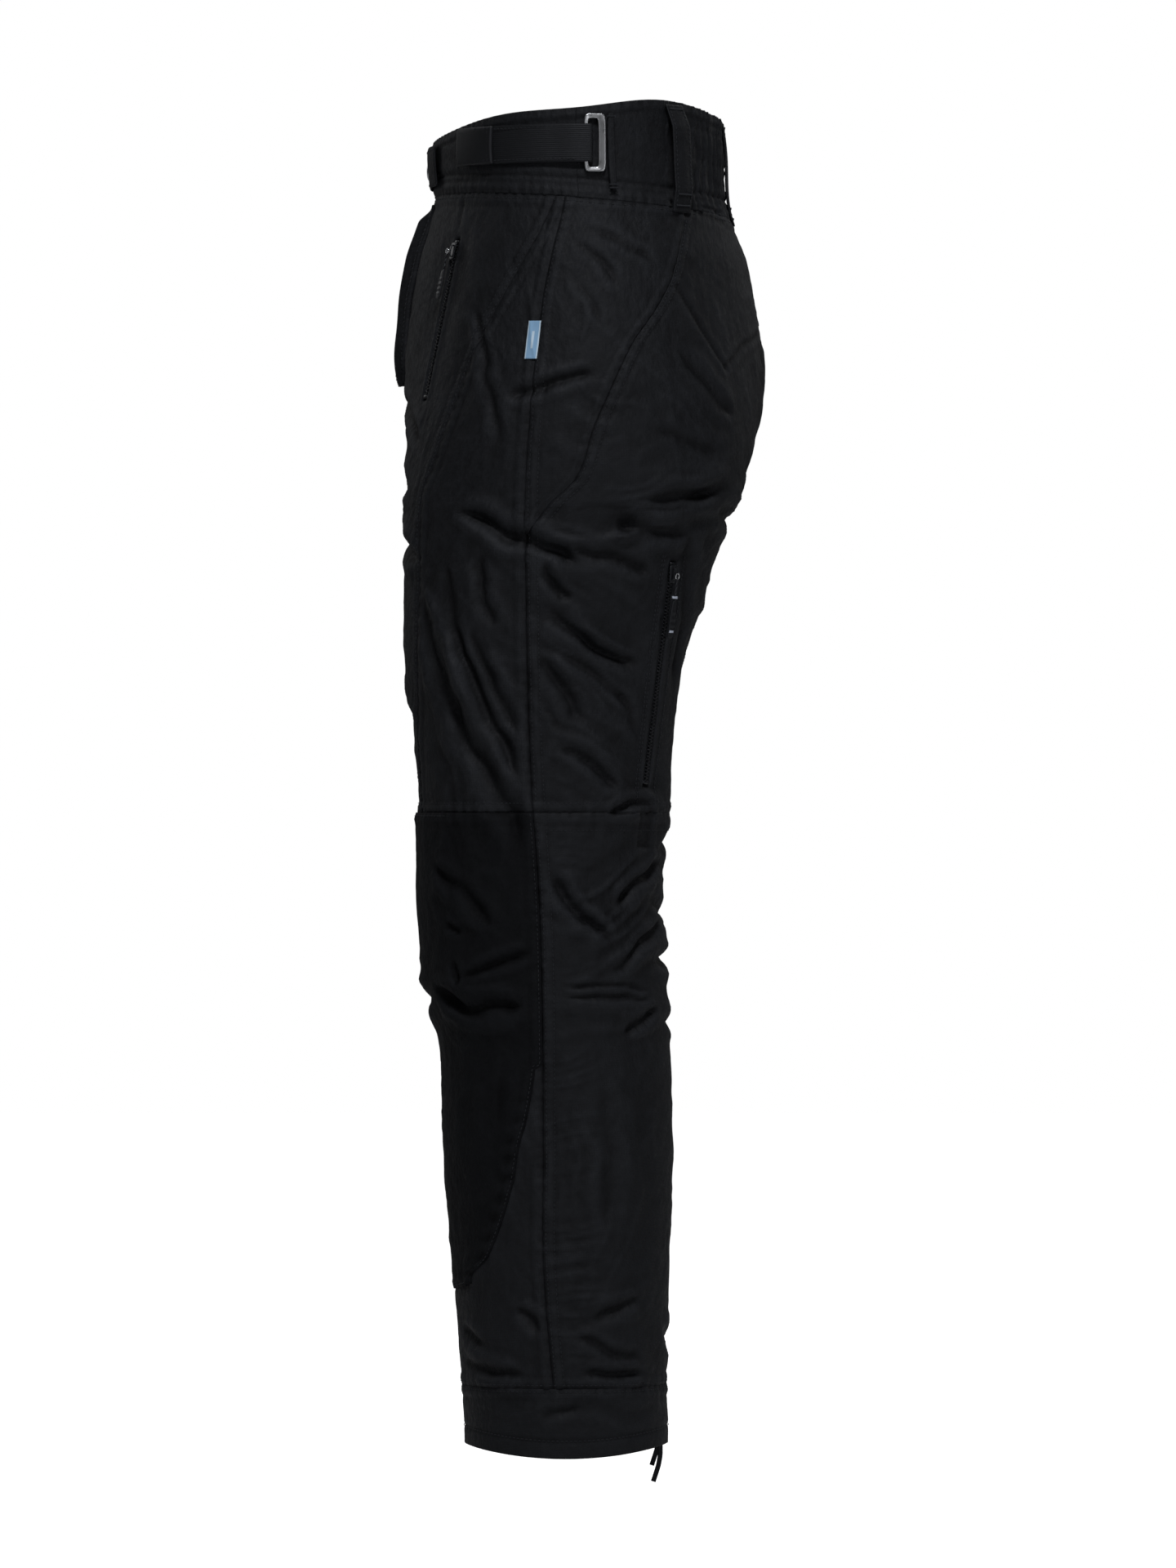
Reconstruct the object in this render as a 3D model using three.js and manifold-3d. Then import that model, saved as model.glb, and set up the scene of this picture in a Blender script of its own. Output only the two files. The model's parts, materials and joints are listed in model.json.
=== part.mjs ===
// Insulated ski pants: shell panels, waistband, adjusters, zips, knee joints, gaiters and hem.
// Millimetres, +Z up, front towards -Y, the wearer's left towards +X.
// The origin is the centre of the waist opening at the height of the waist seam.

import * as THREE from 'three';
import { mergeVertices } from 'three/addons/utils/BufferGeometryUtils.js';
import Module from 'manifold-3d';

const wasm = await Module();
wasm.setup();

// ---------------------------------------------------------------- driving dimensions

const OUTSEAM = 998;            // waist seam to the lowest point of the hem
const GIRTH = 1;                // share by which every leg and hip width is let out
const SHELL = 3.5;              // outer fabric, insulation and lining together
const GAP = 0.3;                // between neighbouring pieces
const LAID = 0.8;               // between a piece and the curved cloth that it lies on
const KNEE_HEIGHT = 403;        // knee axis above the hem
const KNEE_SPAN = 207;          // height of the panels that bend at the knee
const CROTCH_DROP = 243;        // waist seam down to the crotch
const BAND_SLOPE = 9;           // the waist seam sinks this much towards the back, and rises in front
const BAND_FRONT = 44;          // waistband height at the front
const BAND_BACK = 80;           // waistband height at the back
const HEM_BAND = 55;            // height of the turned hem
const HEM_LIFT = 8.5;           // the hem rises this much at the front and at the back
const STRAP_WIDTH = 30;         // adjuster webbing
const STRAP_THICK = 2;
const STRAP_Z = 19;             // lower edge of the webbing
const RING_HEIGHT = 46;
const RING_WIDTH = 17.5;
const RING_THICK = 3;
const RING_PLAY = 0.2;          // the ring hangs a little off the band
const ZIP_WIDTH = 12;           // zip tape and coil
const ZIP_THICK = 2;
const SLIDER = { width: 9, length: 14, thick: 5 };
const PULL = { width: 6, thick: 1.6 };
const SLOT_DEPTH = 40;          // the cut that lets a zip into the shell reaches well past it
const LOOP_RISE = 7.5;          // how far a belt loop stands off the waistband
const TAPE_WIDTH = 4;           // flat tape that hangs from the hem
const TAPE_THICK = 1.2;

const HEM_Z = -OUTSEAM;
const KNEE_Z = HEM_Z + KNEE_HEIGHT;
const KNEE_TOP = KNEE_Z + KNEE_SPAN / 2;
const KNEE_BOTTOM = KNEE_Z - KNEE_SPAN / 2;
const LEFT = 1;
const RIGHT = -1;

// ---------------------------------------------------------------- the body's surface

// Each row is a level below the waist seam, as a share of the outseam, with the front edge,
// the back edge, the centre of the leg and half its width there.
const LEVELS = [
  { at: -0.075, front: -113, back: 113, centre: 0, half: 152 },
  { at: 0.000, front: -115, back: 117, centre: 0, half: 158 },
  { at: 0.066, front: -133, back: 135, centre: 0, half: 180 },
  { at: 0.128, front: -138, back: 146, centre: 20, half: 176 },
  { at: 0.170, front: -137, back: 144, centre: 55, half: 147 },
  { at: 0.210, front: -136, back: 136, centre: 84, half: 118 },
  { at: 0.2435, front: -138, back: 122, centre: 99.8, half: 99.8 },
  { at: 0.283, front: -138, back: 108, centre: 99, half: 97 },
  { at: 0.360, front: -138, back: 83, centre: 96, half: 91 },
  { at: 0.484, front: -127, back: 71, centre: 94, half: 86 },
  { at: 0.596, front: -124, back: 67, centre: 93, half: 83 },
  { at: 0.690, front: -110, back: 71, centre: 92, half: 80 },
  { at: 0.808, front: -103, back: 72, centre: 91, half: 78 },
  { at: 0.902, front: -95, back: 68, centre: 90, half: 77 },
  { at: 1.000, front: -91, back: 70, centre: 90, half: 76 },
];

// A cubic through the levels, with each slope the mean of its two neighbours' slopes.
function along(key, share) {
  let i = 1;
  while (i < LEVELS.length - 1 && share > LEVELS[i].at) {
    i += 1;
  }
  const slope = (j) => {
    const lower = LEVELS[Math.max(j - 1, 0)];
    const upper = LEVELS[Math.min(j + 1, LEVELS.length - 1)];
    return (upper[key] - lower[key]) / (upper.at - lower.at);
  };
  const a = LEVELS[i - 1];
  const b = LEVELS[i];
  const length = b.at - a.at;
  const t = (share - a.at) / length;
  const t2 = t * t;
  const t3 = t2 * t;
  return (2 * t3 - 3 * t2 + 1) * a[key] + (t3 - 2 * t2 + t) * length * slope(i - 1)
    + (3 * t2 - 2 * t3) * b[key] + (t3 - t2) * length * slope(i);
}

function section(z) {
  const share = -z / OUTSEAM;
  const front = along('front', share);
  const back = along('back', share);
  const half = along('half', share) * GIRTH;
  const usual = along('centre', share) * GIRTH;
  const centre = z > -CROTCH_DROP ? Math.min(usual, half) : Math.max(usual, half + GAP / 2);
  return { centre, half, middle: (front + back) / 2, reach: (back - front) / 2 };
}

const radians = THREE.MathUtils.degToRad;
const degrees = THREE.MathUtils.radToDeg;

// A point of one leg and half of the hip: 0 degrees is the front, 90 the outer side, 180 the back.
function point(angle, z, offset) {
  const { centre, half, middle, reach } = section(z);
  const sin = Math.sin(radians(angle));
  const cos = Math.cos(radians(angle));
  const normal = new THREE.Vector3(sin / half, -cos / reach, 0).normalize();
  return new THREE.Vector3(centre + half * sin, middle - reach * cos, z).addScaledVector(normal, offset);
}

// The outward direction square to the surface.
function normalAt(angle, z) {
  const around = point(angle + 0.5, z, 0).sub(point(angle - 0.5, z, 0));
  const upward = point(angle, z + 1, 0).sub(point(angle, z - 1, 0));
  return around.cross(upward).normalize();
}

// The angle at which the outer side of the surface crosses the plane y.
function angleAt(y, z) {
  const { middle, reach } = section(z);
  return degrees(Math.acos(THREE.MathUtils.clamp((middle - y) / reach, -1, 1)));
}

// How far past straight ahead the surface goes before it meets the other half.
function cleft(z) {
  const { centre, half } = section(z);
  return degrees(Math.asin(THREE.MathUtils.clamp((centre - GAP / 2) / half, -1, 1)));
}

const frontCentre = (z) => -cleft(z);
const backCentre = (z) => 180 + cleft(z);
const inseam = -90;

// ---------------------------------------------------------------- seams

// A seam is a smooth line of y against height, given by a few points of each.
function seam(points) {
  const curve = new THREE.SplineCurve(points.map(([y, z]) => new THREE.Vector2(y, z)));
  const samples = curve.getPoints(points.length * 8);
  return (z) => {
    const after = Math.max(1, samples.findIndex((p) => p.y <= z));
    const b = samples[z <= samples.at(-1).y ? samples.length - 1 : after];
    const a = samples[samples.indexOf(b) - 1];
    const t = THREE.MathUtils.clamp((z - a.y) / (b.y - a.y), 0, 1);
    return angleAt(a.x + (b.x - a.x) * t, z);
  };
}

const sideSeam = seam([[-8, 80], [-10, 0], [-29, -92], [-40, -207], [-42, -259], [-40, -400],
  [-30, -590], [-28, -764], [-28, -841], [-20, -943], [-12, -998]]);
const pocketSeam = seam([[-10, 20], [-29, -33], [-69, -104], [-98, -171], [-114, -219], [-122, -243]]);
const seatSeam = seam([[88, 20], [75, -65], [42, -125], [16, -170], [-2, -235], [-4, -243]]);

const waistSeam = (angle) => BAND_SLOPE * (Math.cos(radians(angle)) - 1);
const waistTop = (angle) => {
  const turn = (1 - Math.cos(radians(angle))) / 2;
  return BAND_FRONT + (BAND_BACK - BAND_FRONT - 2 * BAND_SLOPE) * Math.sin(turn * Math.PI / 2);
};
const hemEdge = (angle) => HEM_Z + HEM_LIFT * Math.cos(radians(angle)) ** 2;
const level = (z) => () => z;

// ---------------------------------------------------------------- solids

function manifoldOf(geometry) {
  const bare = geometry.clone();
  bare.deleteAttribute('normal');
  bare.deleteAttribute('uv');
  const merged = mergeVertices(bare.index ? bare.toNonIndexed() : bare, 1e-4);
  return new wasm.Manifold(new wasm.Mesh({
    numProp: 3,
    vertProperties: new Float32Array(merged.attributes.position.array),
    triVerts: new Uint32Array(merged.index.array),
  }));
}

function geometryOf(manifold) {
  const { vertProperties, triVerts } = manifold.getMesh();
  const geometry = new THREE.BufferGeometry();
  geometry.setAttribute('position', new THREE.BufferAttribute(vertProperties, 3));
  geometry.setIndex(new THREE.BufferAttribute(triVerts, 1));
  return geometry;
}

function cut(geometry, cutters) {
  const remove = (solid, cutter) => solid.subtract(manifoldOf(cutter));
  return geometryOf(cutters.reduce(remove, manifoldOf(geometry)));
}

// A closed piece of shell between two seams and two edges. from and to give angles against
// height, low and high give heights against the angle, and inner and outer are offsets from
// the surface, as numbers or as functions of the two shares across and up.
// stopAtCentre keeps a piece of one half from reaching over to the other.
function panel({ from, to, low, high, inner = -SHELL, outer = 0, across = 9, up = 5, ring = false,
  stopAtCentre = false }) {
  const positions = [];
  const index = [];
  const value = (offset, u, v) => (typeof offset === 'function' ? offset(u, v) : offset);
  const columns = ring ? across : across + 1;
  for (const layer of [outer, inner]) {
    for (let j = 0; j <= up; j += 1) {
      for (let i = 0; i < columns; i += 1) {
        const u = i / across;
        const v = j / up;
        let z = (low(90) + high(90)) / 2;
        let angle = 0;
        for (let pass = 0; pass < 6; pass += 1) {
          const start = from(z);
          const end = to(z);
          const trim = ring ? 0 : degrees(GAP / 2 / section(z).reach);
          angle = THREE.MathUtils.lerp(start + trim, end - trim, u);
          z = THREE.MathUtils.lerp(low(angle) + GAP / 2, high(angle) - GAP / 2, v);
        }
        const p = point(angle, z, value(layer, u, v));
        if (stopAtCentre) {
          p.x = Math.max(p.x, GAP / 2);
        }
        positions.push(p.x, p.y, p.z);
      }
    }
  }
  const layerSize = columns * (up + 1);
  const at = (layer, i, j) => layer * layerSize + j * columns + (ring ? i % columns : i);
  const quad = (a, b, c, d) => index.push(a, b, c, a, c, d);
  for (let i = 0; i < across; i += 1) {
    for (let j = 0; j < up; j += 1) {
      quad(at(0, i, j), at(0, i + 1, j), at(0, i + 1, j + 1), at(0, i, j + 1));
      quad(at(1, i, j), at(1, i, j + 1), at(1, i + 1, j + 1), at(1, i + 1, j));
    }
    quad(at(1, i, 0), at(1, i + 1, 0), at(0, i + 1, 0), at(0, i, 0));
    quad(at(0, i, up), at(0, i + 1, up), at(1, i + 1, up), at(1, i, up));
  }
  for (let j = 0; j < up && !ring; j += 1) {
    quad(at(1, 0, j), at(0, 0, j), at(0, 0, j + 1), at(1, 0, j + 1));
    quad(at(0, across, j), at(1, across, j), at(1, across, j + 1), at(0, across, j + 1));
  }
  const geometry = new THREE.BufferGeometry();
  geometry.setAttribute('position', new THREE.Float32BufferAttribute(positions, 3));
  geometry.setIndex(index);
  return geometry;
}

// A block with its length along one line, its thickness along out, and its width across both.
function block(middle, along, out, width, thick, length) {
  const z = along.clone().normalize();
  const x = new THREE.Vector3().crossVectors(out, z).normalize();
  const y = new THREE.Vector3().crossVectors(z, x);
  const geometry = new THREE.BoxGeometry(width, thick, length);
  const turn = new THREE.Matrix4().makeBasis(x, y, z).setPosition(middle);
  return geometry.applyMatrix4(turn);
}

// A disc or dome with its axis along out.
function button(middle, out, radius, thick) {
  const geometry = new THREE.CylinderGeometry(radius * 0.8, radius, thick, 16);
  const turn = new THREE.Quaternion().setFromUnitVectors(new THREE.Vector3(0, 1, 0), out);
  return geometry.applyQuaternion(turn).translate(middle.x, middle.y, middle.z);
}

// ---------------------------------------------------------------- zips

// A straight zip between two points, with its slider at the top and its pull hanging.
function zip(start, end, outward, pullLength) {
  const down = end.clone().sub(start);
  const length = down.length();
  down.normalize();
  const mid = start.clone().lerp(end, 0.5);
  const out = outward.clone().addScaledVector(down, -outward.dot(down)).normalize();
  const place = (below, lift) => start.clone().addScaledVector(down, below).addScaledVector(out, lift);
  const sliderLift = ZIP_THICK / 2 + GAP + SLIDER.thick / 2;
  const pullLift = sliderLift + SLIDER.thick / 2 + GAP + PULL.thick / 2;
  const sliderMiddle = SLIDER.length / 2 + 2;
  return {
    chain: block(mid, down, out, ZIP_WIDTH, ZIP_THICK, length),
    slot: block(place(length / 2, SLOT_DEPTH / 2 - ZIP_THICK / 2 - GAP), down, out,
      ZIP_WIDTH + 2 * GAP, SLOT_DEPTH, length + 2 * GAP),
    slider: block(place(sliderMiddle, sliderLift), down, out,
      SLIDER.width, SLIDER.thick, SLIDER.length),
    pull: block(place(sliderMiddle + pullLength / 2, pullLift), down, out,
      PULL.width, PULL.thick, pullLength),
    travel: length - SLIDER.length - 4,
    hinge: place(sliderMiddle, pullLift),
    down,
    out,
  };
}

// A zip set into the surface between two places, given as y and height, at a depth.
function setIn(top, bottom, depth, pullLength) {
  const angles = [angleAt(top.y, top.z), angleAt(bottom.y, bottom.z)];
  const outward = normalAt((angles[0] + angles[1]) / 2, (top.z + bottom.z) / 2);
  return zip(point(angles[0], top.z, -depth), point(angles[1], bottom.z, -depth), outward, pullLength);
}

const HAND_ZIP = setIn({ y: -97, z: -40 }, { y: -122, z: -165 }, 1.5, 40);
const VENT_ZIP = setIn({ y: 75, z: -295 }, { y: 54, z: -469 }, 3, 50);
const flyPoint = (z, depth) => {
  const { middle, reach } = section(z);
  return new THREE.Vector3(0, middle - reach * Math.cos(radians(cleft(z))) + depth, z);
};
const FLY_TOP = flyPoint(-24, SHELL / 2);
const FLY_BOTTOM = flyPoint(-135, SHELL / 2 + 4);
const FLY_ZIP = zip(FLY_TOP, FLY_BOTTOM, new THREE.Vector3(0, -1, 0), 24);

// ---------------------------------------------------------------- waist

const BAND_SIDE_Y = -3;         // where the firm front of the band meets the elastic back
const waistAngle = (y) => angleAt(y, STRAP_Z + STRAP_WIDTH / 2);
const fixed = (angle) => () => angle;

function waistbandFront() {
  return panel({
    from: frontCentre, to: fixed(waistAngle(BAND_SIDE_Y)), low: waistSeam, high: waistTop, across: 8, up: 3,
  });
}

function waistbandBack() {
  const side = waistAngle(BAND_SIDE_Y);
  return panel({
    from: fixed(side), to: fixed(360 - side), low: waistSeam, high: waistTop, across: 20, up: 3,
  });
}

// The loop is flat on the band at both ends and stands off in between.
function beltLoop(angle) {
  const wide = degrees(10 / section(30).reach);
  const rise = (u, v) => LAID + LOOP_RISE * Math.min(1, 1.6 * Math.sin(Math.PI * v));
  return panel({
    from: fixed(angle - wide), to: fixed(angle + wide), low: level(-4 + waistSeam(angle)),
    high: level(waistTop(angle) - 3), inner: rise, outer: (u, v) => rise(u, v) + 1.6, across: 3, up: 10,
  });
}

function loopField() {
  return panel({
    from: fixed(waistAngle(-96)), to: fixed(waistAngle(-6)), low: level(STRAP_Z + 3),
    high: level(STRAP_Z + STRAP_WIDTH - 3), inner: LAID, outer: LAID + 1.2, across: 8, up: 1,
  });
}

const strapRise = (y) => 3 + (RING_THICK - 1) * THREE.MathUtils.smoothstep(y, -22, 0);
const STRAP_END_Y = 8;
const TAB_Y = -66;

function webbing(fromY, toY, thick) {
  const start = waistAngle(fromY);
  const end = waistAngle(toY);
  const rise = (u) => strapRise(point(THREE.MathUtils.lerp(start, end, u), STRAP_Z, 0).y);
  return panel({
    from: fixed(start), to: fixed(end), low: level(STRAP_Z), high: level(STRAP_Z + STRAP_WIDTH),
    inner: rise, outer: (u) => rise(u) + thick, across: 10, up: 1,
  });
}

function roundedRectangle(path, width, height, radius) {
  const x = width / 2 - radius;
  const y = height / 2 - radius;
  path.absarc(x, y, radius, 0, Math.PI / 2);
  path.absarc(-x, y, radius, Math.PI / 2, Math.PI);
  path.absarc(-x, -y, radius, Math.PI, Math.PI * 1.5);
  path.absarc(x, -y, radius, Math.PI * 1.5, Math.PI * 2);
  path.closePath();
  return path;
}

const RING = { y: 12, z: STRAP_Z + STRAP_WIDTH / 2 };

// The ring lies flat on the band, so it leans with it.
function ring() {
  const outline = roundedRectangle(new THREE.Shape(), RING_WIDTH, RING_HEIGHT, 3);
  outline.holes.push(roundedRectangle(new THREE.Path(), RING_WIDTH - 9, RING_HEIGHT - 9, 1.5));
  const flat = { depth: RING_THICK, bevelEnabled: false, curveSegments: 3 };
  const geometry = new THREE.ExtrudeGeometry(outline, flat);
  const out = normalAt(waistAngle(RING.y), RING.z);
  const across = new THREE.Vector3(0, 0, 1).cross(out).normalize();
  const upward = out.clone().cross(across);
  const place = point(waistAngle(RING.y), RING.z, LAID + RING_PLAY);
  return geometry.applyMatrix4(new THREE.Matrix4().makeBasis(across, upward, out).setPosition(place));
}

function ringAnchor() {
  const rear = RING.y + RING_WIDTH / 2;
  return panel({
    from: fixed(waistAngle(rear + GAP)), to: fixed(waistAngle(rear + 6)), low: level(-1),
    high: level(RING.z + RING_HEIGHT / 2), inner: LAID, outer: RING_THICK + 2, across: 1, up: 2,
  });
}

const TAB = { from: -14, to: 18, low: 7, high: 39, lift: 3, thick: 2 };

function waistTab() {
  return panel({
    from: fixed(TAB.from), to: fixed(TAB.to), low: level(TAB.low), high: level(TAB.high),
    inner: TAB.lift, outer: TAB.lift + TAB.thick, across: 6, up: 1,
  });
}

function snap(lift, thick, radius) {
  const z = (TAB.low + TAB.high) / 2;
  const out = normalAt(TAB.from + 4, z);
  return button(point(TAB.from + 4, z, lift).addScaledVector(out, thick / 2), out, radius, thick);
}

// ---------------------------------------------------------------- fly

// The cover is sewn down one side of the zip and lies free over its slider.
function flyPlacket() {
  const lift = SLIDER.thick + PULL.thick + 2;
  const turn = (x, z) => degrees(Math.asin((x - section(z).centre) / section(z).half));
  return panel({
    from: (z) => turn(-14, z), to: (z) => turn(22, z), low: level(-150), high: level(-6),
    inner: (u) => (u > 0.7 ? LAID : lift), outer: lift + 2, across: 6, up: 6,
  });
}

// ---------------------------------------------------------------- hips and legs

const hipLow = level(-CROTCH_DROP);

function hipFront() {
  const shell = panel({
    from: frontCentre, to: pocketSeam, low: hipLow, high: waistSeam, across: 8, up: 9, stopAtCentre: true,
  });
  return cut(shell, [HAND_ZIP.slot, FLY_ZIP.slot]);
}

function hipSide() {
  return panel({ from: pocketSeam, to: seatSeam, low: hipLow, high: waistSeam, across: 8, up: 9 });
}

function seat() {
  return panel({
    from: seatSeam, to: backCentre, low: hipLow, high: waistSeam, across: 9, up: 9, stopAtCentre: true,
  });
}

function legPanel(side, top, bottom, extra = {}) {
  const range = side === 'front'
    ? { from: fixed(inseam), to: sideSeam }
    : { from: sideSeam, to: fixed(inseam + 360) };
  return panel({ ...range, low: level(bottom), high: level(top), across: 10, up: 4, ...extra });
}

const HEM_TOP = HEM_Z + HEM_BAND;

function hemBand() {
  return panel({
    from: fixed(0), to: fixed(360), low: hemEdge, high: level(HEM_TOP), across: 24, up: 1, ring: true,
  });
}

// The gaiter is sewn in above the hem and narrows towards the boot.
function snowGaiter() {
  const depth = (u, v) => -SHELL - 2 * LAID - 9 * (1 - v);
  return panel({
    from: fixed(0), to: fixed(360), low: level(HEM_Z + 28), high: level(HEM_Z + 120),
    inner: (u, v) => depth(u, v) - 1.5, outer: depth, across: 24, up: 2, ring: true,
  });
}

function label() {
  return panel({
    from: (z) => sideSeam(z) - 5, to: (z) => sideSeam(z) + 0.5, low: level(-134), high: level(-104),
    inner: LAID, outer: LAID + 0.8, across: 2, up: 2,
  });
}

// Points of the flat tape that hangs behind the heel from the inside of the hem.
const TAPE_ROUTE = [
  [90, 63.6, -968], [90, 63.6, -976], [90, 63.8, -984], [90, 64.2, -992],
  [90, 64.2, -1000], [90, 62.8, -1008], [90, 60.6, -1015], [90, 58.6, -1021],
];

function hangingTape() {
  const route = new THREE.CatmullRomCurve3(TAPE_ROUTE.map((p) => new THREE.Vector3(...p)));
  const outline = new THREE.Shape();
  outline.absellipse(0, 0, TAPE_THICK / 2, TAPE_WIDTH / 2, 0, 2 * Math.PI);
  const sweep = { steps: 7, curveSegments: 8, extrudePath: route, bevelEnabled: false };
  return new THREE.ExtrudeGeometry(outline, sweep);
}

// ---------------------------------------------------------------- materials and assembly

const FINISH = {
  shell: { color: 0x17181a, roughness: 0.75, metalness: 0 },
  patch: { color: 0x101113, roughness: 0.85, metalness: 0 },
  trim: { color: 0x1c1d1f, roughness: 0.6, metalness: 0 },
  zip: { color: 0x0d0d0e, roughness: 0.4, metalness: 0 },
  metal: { color: 0xb4b6b8, roughness: 0.3, metalness: 1 },
  label: { color: 0x96b9d7, roughness: 0.7, metalness: 0 },
};

function add(group, name, finish, geometry) {
  const mesh = new THREE.Mesh(geometry, new THREE.MeshStandardMaterial(FINISH[finish]));
  mesh.name = name;
  group.add(mesh);
}

function half(side) {
  const group = new THREE.Group();
  const tail = side === LEFT ? 'left' : 'right';
  const piece = (name, finish, geometry) => add(group, `${name}_${tail}`, finish, geometry);
  group.scale.x = side;
  piece('waistband_front', 'shell', waistbandFront());
  piece('belt_loop', 'trim', beltLoop(waistAngle(75)));
  piece('loop_field', 'trim', loopField());
  piece('adjuster_strap', 'trim', webbing(TAB_Y, STRAP_END_Y, STRAP_THICK));
  piece('adjuster_tab', 'trim', webbing(TAB_Y - 27, TAB_Y, STRAP_THICK + 0.6));
  piece('adjuster_ring', 'metal', ring());
  piece('ring_anchor', 'shell', ringAnchor());
  piece('hip_front', 'shell', hipFront());
  piece('hip_side', 'shell', hipSide());
  piece('seat', 'shell', seat());
  piece('hand_zip', 'zip', HAND_ZIP.chain.clone());
  piece('hand_slider', 'zip', HAND_ZIP.slider.clone());
  piece('hand_pull', 'trim', HAND_ZIP.pull.clone());
  piece('thigh_front', 'shell', legPanel('front', -CROTCH_DROP, KNEE_TOP));
  piece('thigh_back', 'shell', cut(legPanel('back', -CROTCH_DROP, KNEE_TOP), [VENT_ZIP.slot]));
  piece('vent_zip', 'zip', VENT_ZIP.chain.clone());
  piece('vent_slider', 'zip', VENT_ZIP.slider.clone());
  piece('vent_pull', 'trim', VENT_ZIP.pull.clone());
  piece('knee_patch', 'patch', legPanel('front', KNEE_TOP, KNEE_BOTTOM));
  piece('knee_back', 'shell', legPanel('back', KNEE_TOP, KNEE_BOTTOM));
  piece('shin_panel', 'patch', legPanel('front', KNEE_BOTTOM, HEM_TOP));
  piece('calf_panel', 'shell', legPanel('back', KNEE_BOTTOM, HEM_TOP));
  piece('hem_band', 'shell', hemBand());
  piece('snow_gaiter', 'trim', snowGaiter());
  piece('gaiter_tape', 'trim', hangingTape());
  return group;
}

function centre() {
  const group = new THREE.Group();
  add(group, 'waistband_back', 'shell', waistbandBack());
  add(group, 'belt_loop_back', 'trim', beltLoop(180));
  add(group, 'waist_tab', 'shell', waistTab());
  add(group, 'snap_cap', 'metal', snap(TAB.lift + TAB.thick + LAID, 2, 7));
  add(group, 'snap_socket', 'metal', snap(LAID, TAB.lift - LAID - GAP, 5));
  add(group, 'fly_placket', 'shell', flyPlacket());
  add(group, 'fly_zip', 'zip', FLY_ZIP.chain.clone());
  add(group, 'fly_slider', 'zip', FLY_ZIP.slider.clone());
  add(group, 'fly_pull', 'trim', FLY_ZIP.pull.clone());
  add(group, 'side_label', 'label', label());
  return group;
}

const pants = new THREE.Group();
pants.add(half(LEFT), half(RIGHT), centre());

export default pants;
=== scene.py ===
import json

import bpy
import numpy as np
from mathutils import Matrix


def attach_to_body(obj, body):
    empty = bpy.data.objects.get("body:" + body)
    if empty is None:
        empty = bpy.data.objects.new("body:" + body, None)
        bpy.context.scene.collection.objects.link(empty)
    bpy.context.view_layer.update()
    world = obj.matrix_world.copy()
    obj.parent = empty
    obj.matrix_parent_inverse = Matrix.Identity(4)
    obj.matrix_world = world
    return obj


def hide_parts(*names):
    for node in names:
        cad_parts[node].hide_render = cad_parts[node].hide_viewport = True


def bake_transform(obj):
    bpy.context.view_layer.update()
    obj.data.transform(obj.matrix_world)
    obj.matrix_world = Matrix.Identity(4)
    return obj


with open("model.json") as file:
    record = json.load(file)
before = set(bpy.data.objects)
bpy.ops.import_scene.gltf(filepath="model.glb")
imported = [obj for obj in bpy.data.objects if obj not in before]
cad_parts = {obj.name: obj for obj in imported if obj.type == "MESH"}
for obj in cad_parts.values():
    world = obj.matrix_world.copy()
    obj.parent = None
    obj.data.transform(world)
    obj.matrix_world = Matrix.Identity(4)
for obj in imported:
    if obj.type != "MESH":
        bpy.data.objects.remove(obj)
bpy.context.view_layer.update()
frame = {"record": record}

# Insulated ski pants. Lengths are millimetres and become metres when a mesh is made; the camera and
# the lights are placed in metres. Front is -Y and the wearer's left is +X. An angle goes round one
# leg: 0 is straight ahead, 90 the outer side, 180 the back and -90 or 270 the inseam.

MM = 0.001
LEFT, RIGHT = 1, -1
SIDES = ((LEFT, "left"), (RIGHT, "right"))

OUTSEAM = 998.0
HEM_Z = -OUTSEAM
HEM_TOP = HEM_Z + 55
KNEE_TOP = HEM_Z + 506.5
CROTCH_Z = -243.0
SHELL = 3.2                     # cloth, padding and lining together
GRID = 2.4                      # spacing of the cloth grids
BAND_LEVEL = 34.0               # the level at which places along the waistband are measured
WAIST_HALF = 158.0              # half the waistband's width in front
MIDDLE_GAP = 0.06               # each half stays this far from the plane between the two

# ---------------------------------------------------------------- camera and stage


def make_camera():
    """A long lens looks square on at the outer side of the left leg."""
    distance, seen_height, sensor = 7.5, 1.236, 36.0
    data = bpy.data.cameras.new("camera")
    data.sensor_width = sensor
    data.lens = sensor * distance / seen_height
    data.clip_end = 50
    camera = bpy.data.objects.new("camera", data)
    camera.location = (0.12 + distance, 0.007, -0.469)
    camera.rotation_euler = (np.pi / 2, 0, np.pi / 2)
    bpy.context.collection.objects.link(camera)
    bpy.context.scene.camera = camera


def make_light(name, size, power, place, aim=(0, 0, -0.45)):
    """A square soft box at a place, turned towards the pants."""
    data = bpy.data.lights.new(name, "AREA")
    data.size = size
    data.energy = power
    light = bpy.data.objects.new(name, data)
    light.location = place
    away = np.array(place) - np.array(aim)
    yaw = np.arctan2(away[1], away[0])
    tilt = np.arctan2(np.hypot(away[0], away[1]), away[2])
    light.rotation_euler = (0, tilt, yaw)
    bpy.context.collection.objects.link(light)


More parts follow.
